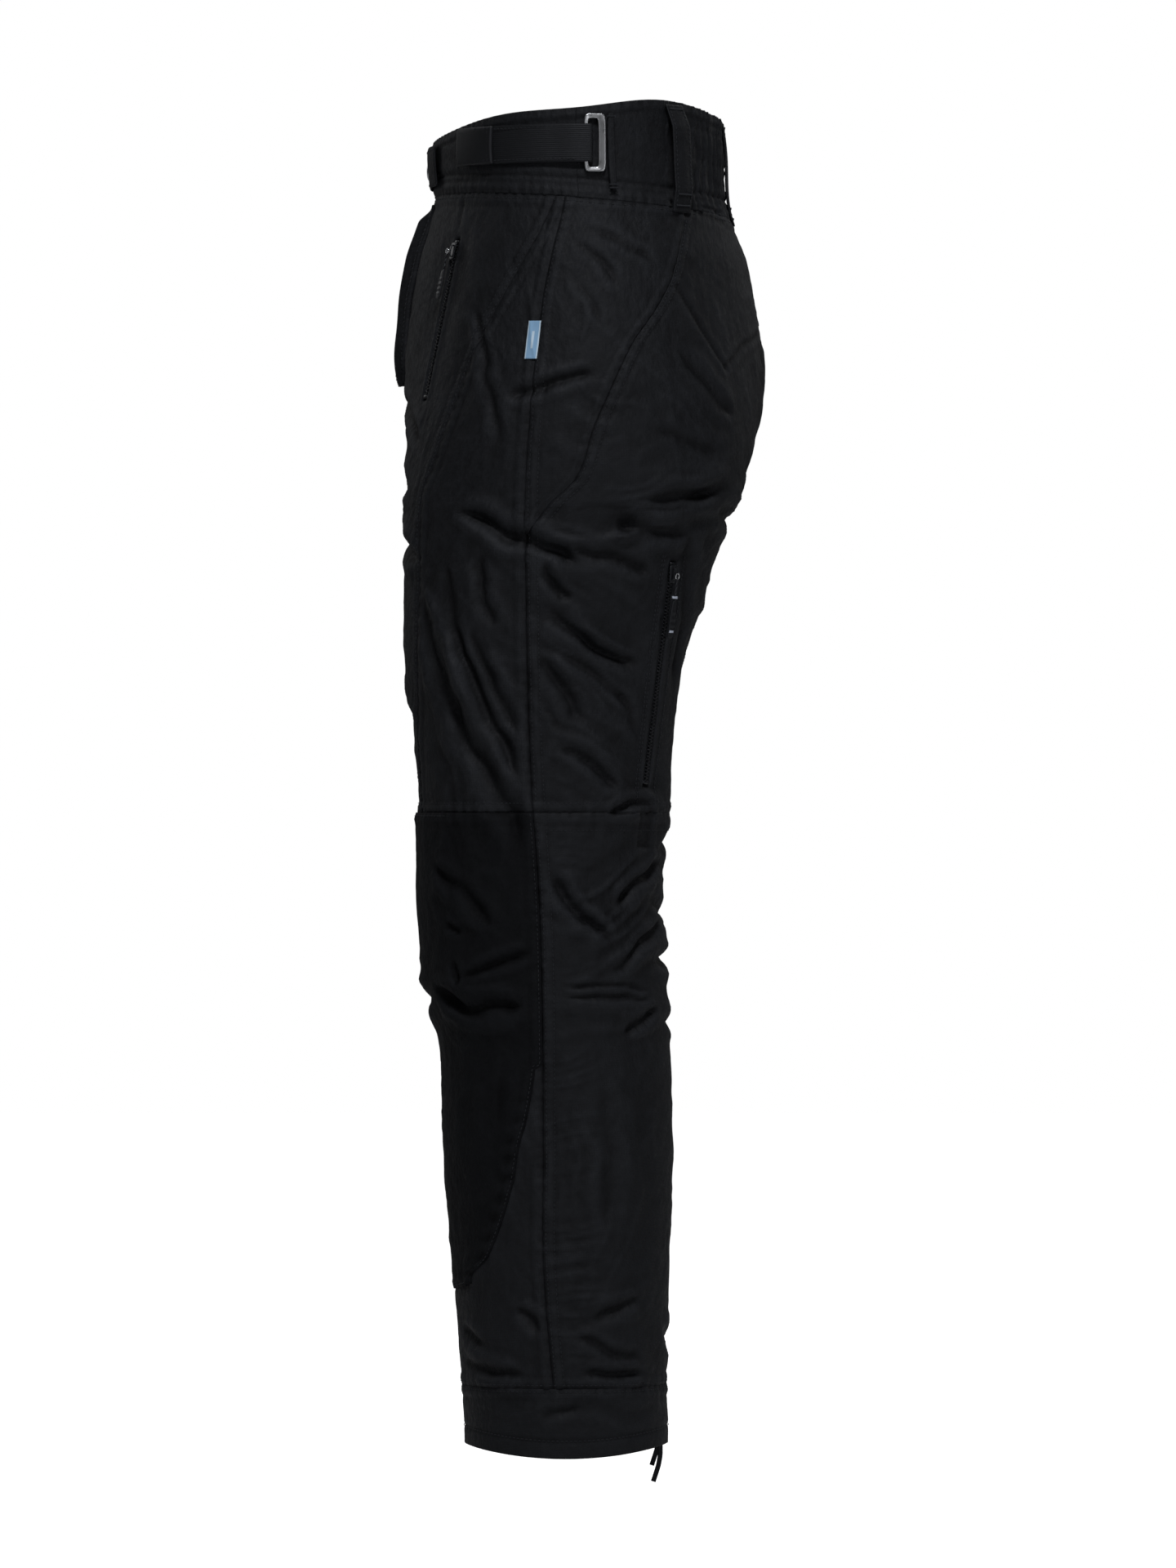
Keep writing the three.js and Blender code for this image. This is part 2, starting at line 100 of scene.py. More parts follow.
def make_stage():
    """A white surround that gives little light itself, a pale floor and soft boxes on every side."""
    scene = bpy.context.scene
    scene.view_settings.view_transform = "Standard"
    world = bpy.data.worlds.new("white surround")
    world.use_nodes = True
    tree = world.node_tree
    background = tree.nodes["Background"]
    background.inputs["Color"].default_value = (1, 1, 1, 1)
    seen = tree.nodes.new("ShaderNodeMapRange")
    seen.inputs["To Min"].default_value = 0.05
    tree.links.new(tree.nodes.new("ShaderNodeLightPath").outputs["Is Camera Ray"], seen.inputs["Value"])
    tree.links.new(seen.outputs[0], background.inputs["Strength"])
    scene.world = world
    floor = solid("floor", *box_mesh(-9000, 9000, -9000, 9000, -1055, -1045), stage_finish())
    make_light("key", 0.6, 68, (2.2, 0.1, 2.6))
    make_light("front", 1.2, 6, (3.4, -1.3, -0.2))
    make_light("back", 1.0, 10, (2.6, 1.8, -0.1))
    make_light("far_key", 0.8, 34, (-2.2, 0.1, 2.6))
    make_light("far_front", 1.4, 9, (-2.4, -2.6, 1.2))
    make_light("far_back", 1.4, 9, (-2.4, 2.6, 1.2))


# ---------------------------------------------------------------- meshes


def softened(grid, passes):
    """A grid of heights after repeated averaging with its neighbours."""
    for _ in range(passes):
        wide = np.pad(grid, 1, mode="edge")
        grid = (wide[:-2, 1:-1] + wide[2:, 1:-1] + wide[1:-1, :-2] + wide[1:-1, 2:] + 2 * grid) / 6
    return grid


def relief(height):
    """How far each point of a grid of heights stands above its surroundings, fine and broad together."""
    return (height - softened(height, 6)) + 0.5 * (height - softened(height, 40))


def mark_relief(piece, values):
    """Keeps the relief as a point attribute, by which the cloth finishes paint shade into creases and
    highlight onto ridges.
    """
    layer = piece.data.attributes.new("relief", "FLOAT", "POINT")
    layer.data.foreach_set("value", np.concatenate([values.ravel(), np.zeros(values.size)]))
    return piece


def solid(name, points, faces, finish, flat_map=None, smooth=True):
    """A mesh object from points in millimetres and quads; a repeated corner makes a triangle."""
    faces = np.asarray(faces, np.int32)
    keep = faces != np.roll(faces, 1, axis=1)
    corners = faces[keep]
    starts = np.concatenate([[0], np.cumsum(keep.sum(1))[:-1]])
    mesh = bpy.data.meshes.new(name)
    mesh.vertices.add(len(points))
    mesh.vertices.foreach_set("co", (np.asarray(points, float) * MM).ravel())
    mesh.loops.add(len(corners))
    mesh.loops.foreach_set("vertex_index", corners)
    mesh.polygons.add(len(faces))
    mesh.polygons.foreach_set("loop_start", starts)
    mesh.polygons.foreach_set("use_smooth", np.full(len(faces), smooth))
    if flat_map is not None:
        layer = mesh.uv_layers.new(name="cloth")
        layer.data.foreach_set("uv", (np.asarray(flat_map)[corners] * MM).ravel())
    mesh.update(calc_edges=True)
    mesh.materials.append(finish)
    piece = bpy.data.objects.new(f"{name}_piece" if name in bpy.data.objects else name, mesh)
    bpy.context.collection.objects.link(piece)
    return piece


def box_mesh(x0, x1, y0, y1, z0, z1):
    """The eight corners and six faces of a box."""
    points = np.array([[x, y, z] for x in (x0, x1) for y in (y0, y1) for z in (z0, z1)], float)
    faces = [[0, 1, 3, 2], [4, 6, 7, 5], [0, 4, 5, 1], [2, 3, 7, 6], [0, 2, 6, 4], [1, 5, 7, 3]]
    return points, faces


def grid_quads(columns, rows, wrap=False):
    """Quads between the points of a grid stored row by row."""
    i = np.arange(columns if wrap else columns - 1)
    j = np.arange(rows - 1)
    jj, ii = np.meshgrid(j, i, indexing="ij")
    right = (ii + 1) % columns
    a = jj * columns + ii
    b = jj * columns + right
    return np.stack([a, b, b + columns, a + columns], -1).reshape(-1, 4)


def two_layers(outer, inner, wrap=False):
    """Closes the space between an outer and an inner grid with quads along the free edges."""
    rows, columns = outer.shape[:2]
    size = columns * rows
    quads = grid_quads(columns, rows, wrap)
    parts = [quads, quads[:, ::-1] + size]
    low = np.arange(columns if wrap else columns - 1)
    nxt = (low + 1) % columns
    parts.append(np.stack([low + size, nxt + size, nxt, low], -1))
    top, top_nxt = low + size - columns, nxt + size - columns
    parts.append(np.stack([top, top_nxt, top_nxt + size, top + size], -1))
    if not wrap:
        start = np.arange(rows - 1) * columns
        end = start + columns - 1
        parts.append(np.stack([start + size, start, start + columns, start + columns + size], -1))
        parts.append(np.stack([end, end + size, end + columns + size, end + columns], -1))
    return np.concatenate([outer.reshape(-1, 3), inner.reshape(-1, 3)]), np.concatenate(parts)


def mirrored(points, faces, side):
    """The same mesh for the right side: x changes sign and each face turns round."""
    if side == LEFT:
        return points, faces
    return points * np.array([-1, 1, 1]), np.asarray(faces)[:, ::-1]


def slab(name, side, outer, inner, flat, finish, wrap=False):
    """A closed piece between an outer and an inner grid, with the same cloth map on both."""
    points, faces = mirrored(*two_layers(outer, inner, wrap), side)
    flat = flat.reshape(-1, 2)
    return solid(name, points, faces, finish, np.concatenate([flat, flat]))


def unmapped(name, shape, side, finish):
    """A piece from points and faces, whose finish needs no cloth map of its own."""
    points, faces = mirrored(*shape, side)
    return solid(name, points, faces, finish, np.zeros((len(points), 2)))


def step(value, low, high):
    """A smooth step from 0 at low to 1 at high."""
    t = np.clip((value - low) / (high - low), 0, 1)
    return t * t * (3 - 2 * t)


def unit(v):
    """Vectors of length one."""
    return v / np.maximum(np.linalg.norm(v, axis=-1, keepdims=True), 1e-9)


def capped(points, columns, rows, low, high):
    """A tube of points stored row by row, closed at both ends by a fan round one more point each."""
    quads = grid_quads(columns, rows, wrap=True)
    ring = np.arange(columns)
    nxt = (ring + 1) % columns
    end = (rows - 1) * columns
    first, last = np.full(columns, rows * columns), np.full(columns, rows * columns + 1)
    return (np.concatenate([points, [low], [high]]),
            np.concatenate([quads, np.stack([nxt, ring, first, first], -1),
                            np.stack([ring + end, nxt + end, last, last], -1)]))


def sweep(path, normal, outline):
    """Carries a closed outline along a path: first coordinate across it, second along its normal."""
    path = np.asarray(path, float)
    along = unit(np.gradient(path, axis=0))
    normal = np.broadcast_to(np.asarray(normal, float), path.shape)
    normal = unit(normal - (normal * along).sum(-1, keepdims=True) * along)
    across = np.cross(normal, along)
    outline = np.broadcast_to(outline, (len(path),) + np.shape(outline)[-2:])
    points = path[:, None] + across[:, None] * outline[..., :1] + normal[:, None] * outline[..., 1:]
    return capped(points.reshape(-1, 3), points.shape[1], len(path), path[0], path[-1])


def rounded(width, thick, count=12, power=0.5):
    """A closed section between an ellipse and a rectangle: the cosine and sine to a small power."""
    turn = np.linspace(0, 2 * np.pi, count, endpoint=False) + np.pi / count
    c, s = np.cos(turn), np.sin(turn)
    return np.stack([np.sign(c) * np.abs(c) ** power * width / 2,
                     np.sign(s) * np.abs(s) ** power * thick / 2], -1)


def pebble(power=0.5, around=12, up=7):
    """A block of size two with soft corners: a sphere whose cosines and sines take a small power."""
    turn = np.linspace(0, 2 * np.pi, around, endpoint=False)
    rise = np.linspace(-np.pi / 2, np.pi / 2, up)[1:-1]

    def soft(v):
        """The value to the power, with its sign kept."""
        return np.sign(v) * np.abs(v) ** power
    points = np.stack([np.outer(soft(np.cos(rise)), soft(np.cos(turn))),
                       np.outer(soft(np.cos(rise)), soft(np.sin(turn))),
                       np.outer(soft(np.sin(rise)), np.ones(around))], -1).reshape(-1, 3)
    return capped(points, around, up - 2, (0, 0, -1), (0, 0, 1))


def copies(shape, origins, along, across, out):
    """One copy of a shape at each origin, with its x, y and z axes along the given vectors."""
    points, faces = shape
    axes = np.stack([np.broadcast_to(a, origins.shape) for a in (along, across, out)], 1)
    placed = origins[:, None] + np.einsum("pk,nkc->npc", points, axes)
    shift = np.arange(len(origins))[:, None, None] * len(points)
    return placed.reshape(-1, 3), (np.asarray(faces)[None] + shift).reshape(-1, np.shape(faces)[1])


def running(path):
    """The length along a path up to each of its points."""
    return np.concatenate([[0], np.cumsum(np.linalg.norm(np.diff(path, axis=0), axis=1))])


def joined(parts):
    """Several meshes as one: points one after another, and faces shifted to match."""
    points, faces, shift = [], [], 0
    for part_points, part_faces in parts:
        points.append(part_points)
        faces.append(np.asarray(part_faces) + shift)
        shift += len(part_points)
    return np.concatenate(points), np.concatenate(faces)


# ---------------------------------------------------------------- the body's surface

# Level, front edge and back edge of the side view.
PROFILE = np.array([
    (-998, -91, 70), (-977, -91, 70), (-947, -92, 68), (-900, -95, 68), (-854, -99, 71),
    (-807, -103, 72), (-761, -106, 73), (-715, -108, 72), (-684, -110, 71), (-668, -112, 70),
    (-650, -117, 70), (-622, -123, 68), (-591, -124, 67), (-560, -127, 65), (-529, -128, 65),
    (-498, -129, 70), (-483, -127, 72), (-452, -129, 72), (-421, -131, 75), (-390, -135, 79),
    (-359, -138, 84), (-328, -138, 96), (-297, -138, 104),
    (-266, -138, 115), (-236, -137, 129), (-205, -137, 137), (-174, -137, 143), (-143, -138, 146),
    (-112, -138, 144), (-81, -135, 139), (-50, -129, 133), (-27, -121, 124), (-4, -115, 117),
    (35, -117, 115), (75, -113, 112)], float)
# Level, centre of the leg and half its width.
WIDTHS = np.array([
    (-998, 90, 76), (-900, 90, 77), (-806, 91, 78), (-690, 92, 80), (-595, 93, 83), (-483, 94, 86),
    (-359, 96, 91), (-282, 99, 97), (-243, 99.8, 99.8), (-210, 84, 118), (-170, 55, 147), (-128, 20, 176),
    (-66, 0, 180), (0, 0, 158), (75, 0, 152)], float)


def through(rows, column, z):
    """A cubic through the rows, with each slope the mean of its two neighbours' slopes."""
    x, y = rows[:, 0], rows[:, column]
    slope = np.empty(len(x))
    slope[1:-1] = (y[2:] - y[:-2]) / (x[2:] - x[:-2])
    slope[0], slope[-1] = (y[1] - y[0]) / (x[1] - x[0]), (y[-1] - y[-2]) / (x[-1] - x[-2])
    i = np.clip(np.searchsorted(x, z) - 1, 0, len(x) - 2)
    length = x[i + 1] - x[i]
    t = np.clip((z - x[i]) / length, -0.2, 1.2)
    return ((2 * t**3 - 3 * t**2 + 1) * y[i] + (t**3 - 2 * t**2 + t) * length * slope[i]
            + (3 * t**2 - 2 * t**3) * y[i + 1] + (t**3 - t**2) * length * slope[i + 1])


def section(z):
    """Centre and half width of the leg, and middle and half depth, at a level."""
    z = np.asarray(z, float)
    front, back = through(PROFILE, 1, z), through(PROFILE, 2, z)
    half = through(WIDTHS, 2, z)
    centre = np.maximum(through(WIDTHS, 1, z), 0)
    centre = np.where(z > CROTCH_Z, np.minimum(centre, half), centre)
    return centre, half, (front + back) / 2, (back - front) / 2


def normals(angle, z):
    """The outward direction of the ellipse at a level."""
    _, half, _, reach = section(z)
    turn = np.radians(angle)
    level = np.zeros_like(turn * z)
    return unit(np.stack(np.broadcast_arrays(np.sin(turn) / half, -np.cos(turn) / reach, level), -1))


def place(angle, z, offset=0.0):
    """A point at an angle and level of the left leg, moved outward by an offset."""
    centre, half, middle, reach = section(z)
    turn = np.radians(angle)
    points = np.stack(np.broadcast_arrays(centre + half * np.sin(turn), middle - reach * np.cos(turn),
                                          np.asarray(z, float)), -1)
    return points + normals(angle, z) * np.asarray(offset)[..., None]


def angle_at(y, z):
    """The angle at which the outer side crosses the plane y."""
    _, _, middle, reach = section(z)
    return np.degrees(np.arccos(np.clip((middle - y) / reach, -1, 1)))


def cleft(z):
    """How far past straight ahead a half goes before it meets the other one."""
    centre, half, _, _ = section(z)
    return np.degrees(np.arcsin(np.clip((centre - 0.15) / half, -1, 1)))


def girth(angle, z):
    """Length round the leg from the outer side, by the mean radius."""
    _, half, _, reach = section(z)
    return np.radians(angle - 90) * (half + reach) / 2


# ---------------------------------------------------------------- seams

SIDE_SEAM = np.array([(-12, -998), (-20, -943), (-28, -841), (-28, -764), (-30, -590), (-37, -470),
                      (-40, -400), (-42, -259), (-40, -207), (-29, -92), (-21, -53), (-10, 0),
                      (-8, 80)], float)
POCKET_SEAM = np.array([(-124, -500), (-127, -380), (-125, -300), (-122, -243), (-114, -219), (-98, -171),
                        (-82, -132), (-69, -104), (-48, -66), (-29, -33), (-10, 10)], float)
SEAT_SEAM = np.array([(-41, -275), (-24, -252), (-2, -230), (12, -190), (20, -172), (42, -125), (62, -94),
                      (75, -65), (84, -20), (88, 20)], float)
PATCH_EDGE = np.array([(-83, -866), (-83, -855), (-71, -841), (-61, -815), (-51, -781), (-47, -755),
                       (-40, -729), (-34, -690), (-31, -640), (-34, -560), (-37, -491)], float)


def seam(points):
    """The angle of a seam at a level, from its points of y and height."""
    rows = points[:, ::-1]
    return lambda z: angle_at(through(rows, 1, np.asarray(z, float)), z)


side_seam, pocket_seam = seam(SIDE_SEAM), seam(POCKET_SEAM)
seat_seam, patch_edge = seam(SEAT_SEAM), seam(PATCH_EDGE)


def fixed(value):
    """The same value everywhere."""
    return lambda other: np.full(np.shape(other), float(value))


def front_centre(z):
    """The front edge of a half: the plane between the halves, and the inseam under the crotch."""
    return -np.where(np.asarray(z) > CROTCH_Z, cleft(z), 90.0)


def fly_edge(z):
    """The front edge of a half, drawn back along the fly so that its zip lies between the two."""
    z = np.asarray(z, float)
    centre, half, _, _ = section(z)
    gap = 0.15 + 5.2 * np.clip((z + 146) / 14, 0, 1) * np.clip((-6 - z) / 10, 0, 1)
    return np.where(z > CROTCH_Z, -np.degrees(np.arcsin(np.clip((centre - gap) / half, -1, 1))), -90.0)


def back_centre(z):
    """The back edge of a half, in the same way."""
    return 180 + np.where(np.asarray(z) > CROTCH_Z, cleft(z), 90.0)


def waist_seam(angle):
    """The level of the waist seam, which sinks by a cosine from the front to the back."""
    return 9.0 * (np.cos(np.radians(angle)) - 1)


def waist_top(angle):
    """The waistband's upper edge: a sine rise towards the back, with a swell over each hip and before it."""
    turn = (1 - np.cos(np.radians(angle))) / 2
    over_hip = np.exp(-((np.abs(np.asarray(angle, float)) - 122) / 30) ** 2)
    before = np.exp(-((np.abs(np.asarray(angle, float)) - 60) / 30) ** 2)
    return 44 + 18 * np.sin(turn * np.pi / 2) + 9 * over_hip + 7.5 * before


def hem_edge(angle):
    """The hem's level, which rises by a squared cosine in front and behind."""
    return HEM_Z + 8.5 * np.cos(np.radians(angle)) ** 2


# ---------------------------------------------------------------- folds

# Each fold: depth, width, then points of y and height on the outer side. A negative depth is a ridge.
SIDE_FOLDS = [
    # hip, from the pocket round to the seat
    (2.6, 6, [(-59, -164), (-19, -158), (16, -148)]),
    (5.5, 7, [(-96, -252), (-70, -266), (-49, -277), (-12, -292), (8, -300)]),
    (3.5, 6, [(-10, -284), (16, -292), (62, -302)]),
    (6.5, 9, [(52, -249), (84, -245), (118, -235)]),
    (5.0, 7, [(30, -263), (55, -273), (88, -275)]),
    (-3.0, 7, [(14, -278), (52, -272), (83, -262)]),
    (1.2, 5, [(-10, -68), (2, -80), (12, -96), (16, -114)]),
    (1.6, 5, [(-6, -44), (17, -63), (33, -82)]),
    (1.6, 5, [(2, -31), (33, -44), (59, -63)]),
    (1.8, 5, [(-84, -84), (-74, -150), (-60, -205)]),
    (1.5, 3, [(91, -13), (118, -14)]),
    (1.5, 3, [(91, -20), (117, -22)]),
    (2.0, 4, [(68, -5), (88, -21)]),
    (2.6, 8, [(80, -130), (100, -160), (122, -180)]),
    (2.2, 7, [(60, -190), (86, -206), (110, -208)]),
    # front of the thigh, long folds that run down and back
    (5.5, 9, [(-118, -340), (-115, -366), (-102, -406), (-86, -440), (-70, -469), (-51, -497), (-46, -529)]),
    (4.0, 7, [(-100, -345), (-94, -366), (-79, -400), (-61, -435), (-49, -469)]),
    (3.2, 6, [(-84, -350), (-79, -366), (-65, -397), (-54, -416), (-49, -435)]),
    (-3.0, 9, [(-122, -308), (-106, -346), (-92, -385), (-74, -425)]),
    (2.6, 7, [(-104, -296), (-99, -340), (-92, -366)]),
    (2.2, 6, [(-78, -288), (-74, -320), (-66, -350)]),
    # back of the thigh
    (3.2, 5, [(-27, -294), (-21, -310), (-6, -328)]),
    (4.2, 6, [(-25, -326), (-10, -345), (10, -359), (32, -373), (52, -380)]),
    (3.6, 6, [(-32, -367), (-10, -395), (3, -422)]),
    (2.0, 4, [(-27, -409), (-15, -426)]),
    (4.0, 6, [(-20, -438), (-5, -442), (11, -457), (35, -473)]),
    (3.4, 8, [(88, -269), (84, -308), (78, -353), (70, -400)]),
    (2.2, 6, [(30, -390), (44, -420), (50, -450)]),
    # knee
    (3.4, 5, [(21, -495), (35, -490), (44, -483), (62, -485)]),
    (5.5, 6, [(-24, -541), (-5, -567), (28, -592)]),
    (5.0, 6, [(30, -566), (48, -545), (63, -528)]),
    (2.2, 5, [(18, -570), (34, -582)]),
    (3.8, 6, [(21, -614), (39, -607), (64, -569)]),
    (2.2, 3.5, [(-15, -626), (20, -629), (55, -628)]),
    (2.2, 3.5, [(-15, -635), (20, -638), (55, -636)]),
    (3.4, 5, [(34, -662), (62, -644)]),
    (4.0, 7, [(-115, -530), (-108, -538), (-87, -556), (-66, -579)]),
    (2.2, 5, [(-104, -578), (-91, -585)]),
    (3.2, 5, [(-34, -601), (-61, -608), (-91, -619)]),
    (2.4, 4, [(-97, -606), (-92, -631)]),
    (6.0, 8, [(-114, -630), (-100, -640), (-82, -646), (-40, -642)]),
    # shin and hem
    (2.8, 6, [(8, -888), (24, -882), (46, -873)]),
    (2.4, 5, [(-5, -902), (28, -916), (48, -918)]),
    (2.6, 5, [(-1, -933), (50, -933)]),
    (2.8, 6, [(-91, -899), (-73, -911)]),
    (3.0, 6, [(-88, -923), (-62, -931), (-41, -933)]),
    (2.4, 5, [(-50, -880), (-27, -896)]),
    (1.8, 5, [(-30, -967), (-24, -960), (3, -958)]),
    (1.8, 10, [(-60, -690), (-66, -740), (-60, -790)]),
    (1.8, 10, [(20, -700), (26, -760), (22, -820)]),
]
# The same by angle and height, for the front, the back and the inner side.
ROUND_FOLDS = [
    (5.0, 8, [(-30, -262), (0, -276), (30, -296)]),
    (4.0, 7, [(-60, -268), (-30, -300), (-5, -340)]),
    (3.4, 7, [(-40, -205), (-18, -214), (10, -238)]),
    (2.6, 6, [(-16, -150), (6, -172), (26, -205)]),
    (3.6, 8, [(-40, -372), (-10, -398), (14, -440)]),
    (3.0, 7, [(-70, -430), (-40, -450), (-12, -470)]),
    (4.0, 8, [(-75, -560), (-45, -575), (-10, -580)]),
    (5.0, 8, [(-80, -640), (-40, -648), (0, -640), (24, -632)]),
    (2.6, 8, [(-60, -700), (-36, -740), (-20, -800)]),
    (3.0, 7, [(-70, -905), (-36, -915), (-4, -930)]),
    (4.5, 8, [(150, -252), (185, -262), (225, -266)]),
    (3.6, 8, [(196, -170), (186, -204), (176, -240)]),
    (2.8, 7, [(170, -120), (182, -150), (186, -190)]),
    (3.6, 7, [(175, -310), (200, -330), (240, -345)]),
    (4.2, 7, [(160, -520), (185, -512), (220, -520), (250, -532)]),
    (5.0, 7, [(152, -560), (178, -572), (215, -566), (245, -556)]),
    (4.6, 7, [(150, -612), (180, -604), (222, -612), (250, -622)]),
    (3.4, 6, [(160, -652), (186, -660), (226, -652)]),
    (2.6, 8, [(190, -740), (200, -780), (196, -830)]),
    (3.2, 7, [(160, -900), (196, -912), (236, -902)]),
    (2.6, 6, [(178, -420), (206, -446), (244, -452)]),
]
# Patches of finer creases: y and height of the middle, half width and half height, the way the
# creases run in degrees from straight down towards the back, their spacing and depth.
SIDE_CREASES = [
    (-88, -415, 38, 105, 22, 12, 2.2), (12, -370, 60, 70, 56, 11, 3.0), (30, -440, 45, 45, 60, 10, 2.2),
    (75, -250, 52, 32, 100, 13, 3.4), (0, -275, 60, 30, 75, 12, 2.0), (95, -150, 30, 60, 40, 14, 1.5),
    (25, -560, 45, 75, 125, 11, 3.0), (30, -640, 45, 35, 100, 11, 2.0), (-80, -560, 36, 50, 45, 13, 1.4),
    (-85, -640, 36, 25, 82, 11, 1.9), (-5, -60, 30, 40, 30, 9, 1.0), (15, -900, 50, 45, 105, 12, 1.5),
    (-70, -915, 30, 30, 75, 11, 1.5), (0, -760, 70, 90, 10, 13, 1.5), (60, -60, 30, 40, 35, 10, 1.0),
    (22, -820, 40, 70, 160, 10, 1.2), (-55, -800, 45, 80, 30, 12, 1.2), (10, -180, 50, 40, 60, 12, 1.6),
    (-70, -180, 30, 70, 20, 12, 1.0), (-60, -300, 40, 50, 50, 11, 1.4), (40, -962, 60, 20, 90, 9, 2.4),
    (-50, -964, 50, 20, 95, 9, 2.2), (-6, -720, 22, 60, 100, 7, 1.5), (-4, -860, 24, 70, 95, 7, 1.7),
    (-8, -420, 18, 90, 70, 7, 1.3), (-4, -560, 20, 60, 80, 7, 1.3), (-6, -330, 20, 50, 60, 7, 1.4),
    (40, -140, 50, 50, 55, 10, 1.4), (-90, -100, 26, 60, 15, 9, 1.0), (-40, -120, 26, 60, 10, 10, 0.9),
]
ROUND_CREASES = [
    (-20, -300, 80, 50, 60, 13, 1.8), (-30, -420, 70, 80, 30, 13, 1.5), (-40, -620, 70, 60, 80, 12, 1.8),
    (-30, -760, 60, 70, 20, 15, 0.9), (-40, -915, 60, 30, 80, 11, 1.3), (190, -270, 80, 35, 95, 12, 2.0),
    (200, -360, 70, 60, 60, 12, 1.6), (200, -570, 80, 70, 90, 12, 1.5), (205, -760, 60, 90, 15, 15, 0.8),
    (200, -905, 60, 40, 95, 12, 1.4), (0, -150, 60, 60, 50, 12, 1.2), (190, -130, 50, 60, 60, 12, 1.2),
]


def furrow(distance):
    """Across a fold: a sharp valley with a lower swell on each side."""
    return -np.exp(-(distance / 0.72) ** 1.3) + 0.42 * np.exp(-((distance - 1.7) / 0.95) ** 2)


def one_fold(s, z, depth, width, line):
    """A fold's height at unrolled points: the furrow by distance from its line, fading at the ends."""
    near = ((s > line[:, 0].min() - 5 * width) & (s < line[:, 0].max() + 5 * width)
            & (z > line[:, 1].min() - 5 * width) & (z < line[:, 1].max() + 5 * width))
    total = np.zeros_like(s)
    if not near.any():
        return total
    p = np.stack([s[near], z[near]], -1)
    best = np.full(len(p), 1e9)
    at = np.zeros(len(p))
    lengths = np.linalg.norm(np.diff(line, axis=0), axis=1)
    start = 0.0
    for a, b, length in zip(line[:-1], line[1:], lengths):
        t = np.clip(((p - a) @ (b - a)) / length**2, 0, 1)
        d = np.linalg.norm(p - a - t[:, None] * (b - a), axis=1)
        closer = d < best
        best = np.where(closer, d, best)
        at = np.where(closer, (start + t * length) / lengths.sum(), at)
        start += length
    fade = np.clip(np.minimum(at, 1 - at) / 0.22 + 0.08, 0.0, 1)
    strength = fade * fade * (3 - 2 * fade)
    total[near] = depth * furrow(best / (width * (0.65 + 0.35 * strength))) * strength
    return total


def rounded_line(line):
    """The line with its corners cut twice, so that a fold bends instead of turning."""
    for _ in range(2):
        quarter = line[:-1] * 0.75 + line[1:] * 0.25
        three = line[:-1] * 0.25 + line[1:] * 0.75
        cut = np.stack([quarter, three], 1).reshape(-1, 2)
        line = np.concatenate([line[:1], cut, line[-1:]])
    return line


def fold_lines():
    """Every fold's line in unrolled millimetres."""
    lines = []
    for depth, width, points in SIDE_FOLDS:
        y, z = np.array(points, float).T
        lines.append((depth, 0.85 * width, rounded_line(np.stack([girth(angle_at(y, z), z), z], -1))))
    for depth, width, points in ROUND_FOLDS:
        angle, z = np.array(points, float).T
        lines.append((depth, width, rounded_line(np.stack([girth(angle, z), z], -1))))
    return lines


FOLD_LINES = fold_lines()


def lattice_noise(x, y, seed):
    """Smooth noise from -1 to 1: random values on a lattice of size one, joined by smooth steps."""
    table = np.random.default_rng(seed).uniform(-1, 1, (97, 97))
    i, j = np.floor(x).astype(int), np.floor(y).astype(int)
    u, v = x - i, y - j
    u, v = u * u * (3 - 2 * u), v * v * (3 - 2 * v)
    i, j = i % 96, j % 96
    low = table[i, j] * (1 - u) + table[i + 1, j] * u
    high = table[i, j + 1] * (1 - u) + table[i + 1, j + 1] * u
    return low * (1 - v) + high * v


def rumple(s, z, seed):
    """Soft creasing all over: swells of 60 mm, ridged noise of 30 and 13 mm, and crinkles of 6 mm."""
    swell = lattice_noise(s / 62 + 9, z / 84 + 3, seed)
    bend = 14 * lattice_noise(s / 45, z / 45, seed + 1)
    big = 1 - 2 * np.abs(lattice_noise((s + bend) / 30, (z + 0.5 * s) / 46, seed + 2)) ** 0.75
    small = 1 - 2 * np.abs(lattice_noise((s - bend) / 13, (z - 0.4 * s) / 17, seed + 3)) ** 0.8
    fine = lattice_noise((s + 0.5 * bend) / 6.5, (z + 0.3 * s) / 8, seed + 5)
    where = 0.5 + 0.5 * lattice_noise(s / 50, z / 60, seed + 4)
    return 1.6 * swell + 0.9 * big * where + 0.5 * small * (1 - 0.5 * where) + 0.2 * fine


def crease_patches():
    """The patches of finer creases in unrolled millimetres."""
    made = [(float(girth(angle_at(y, z), z)), z, *rest) for y, z, *rest in SIDE_CREASES]
    return made + [(float(girth(angle, z)), z, *rest) for angle, z, *rest in ROUND_CREASES]


CREASE_PATCHES = crease_patches()


def creases(s, z, seed):
    """Sharp ridges that run one way in each patch: ridged noise, drawn out five times along them."""
    total = np.zeros_like(s)
    for k, (s0, z0, wide, tall, way, spacing, depth) in enumerate(CREASE_PATCHES):
        ds, dz = s - s0, z - z0
        window = np.exp(-(((ds / wide) ** 2 + (dz / tall) ** 2) ** 1.5))
        turn = np.radians(way)
        run = ds * np.sin(turn) - dz * np.cos(turn)
        over = ds * np.cos(turn) + dz * np.sin(turn)
        bend = 0.7 * lattice_noise(run / 34 + 50, over / 30 + 50, seed + k)
        wave = lattice_noise(over / spacing + 1.1 * bend + 50, run / (8 * spacing) + 50, seed + 31 + k)
        total += depth * window * ((1 - np.abs(wave)) ** 2 - 0.45)
    return total


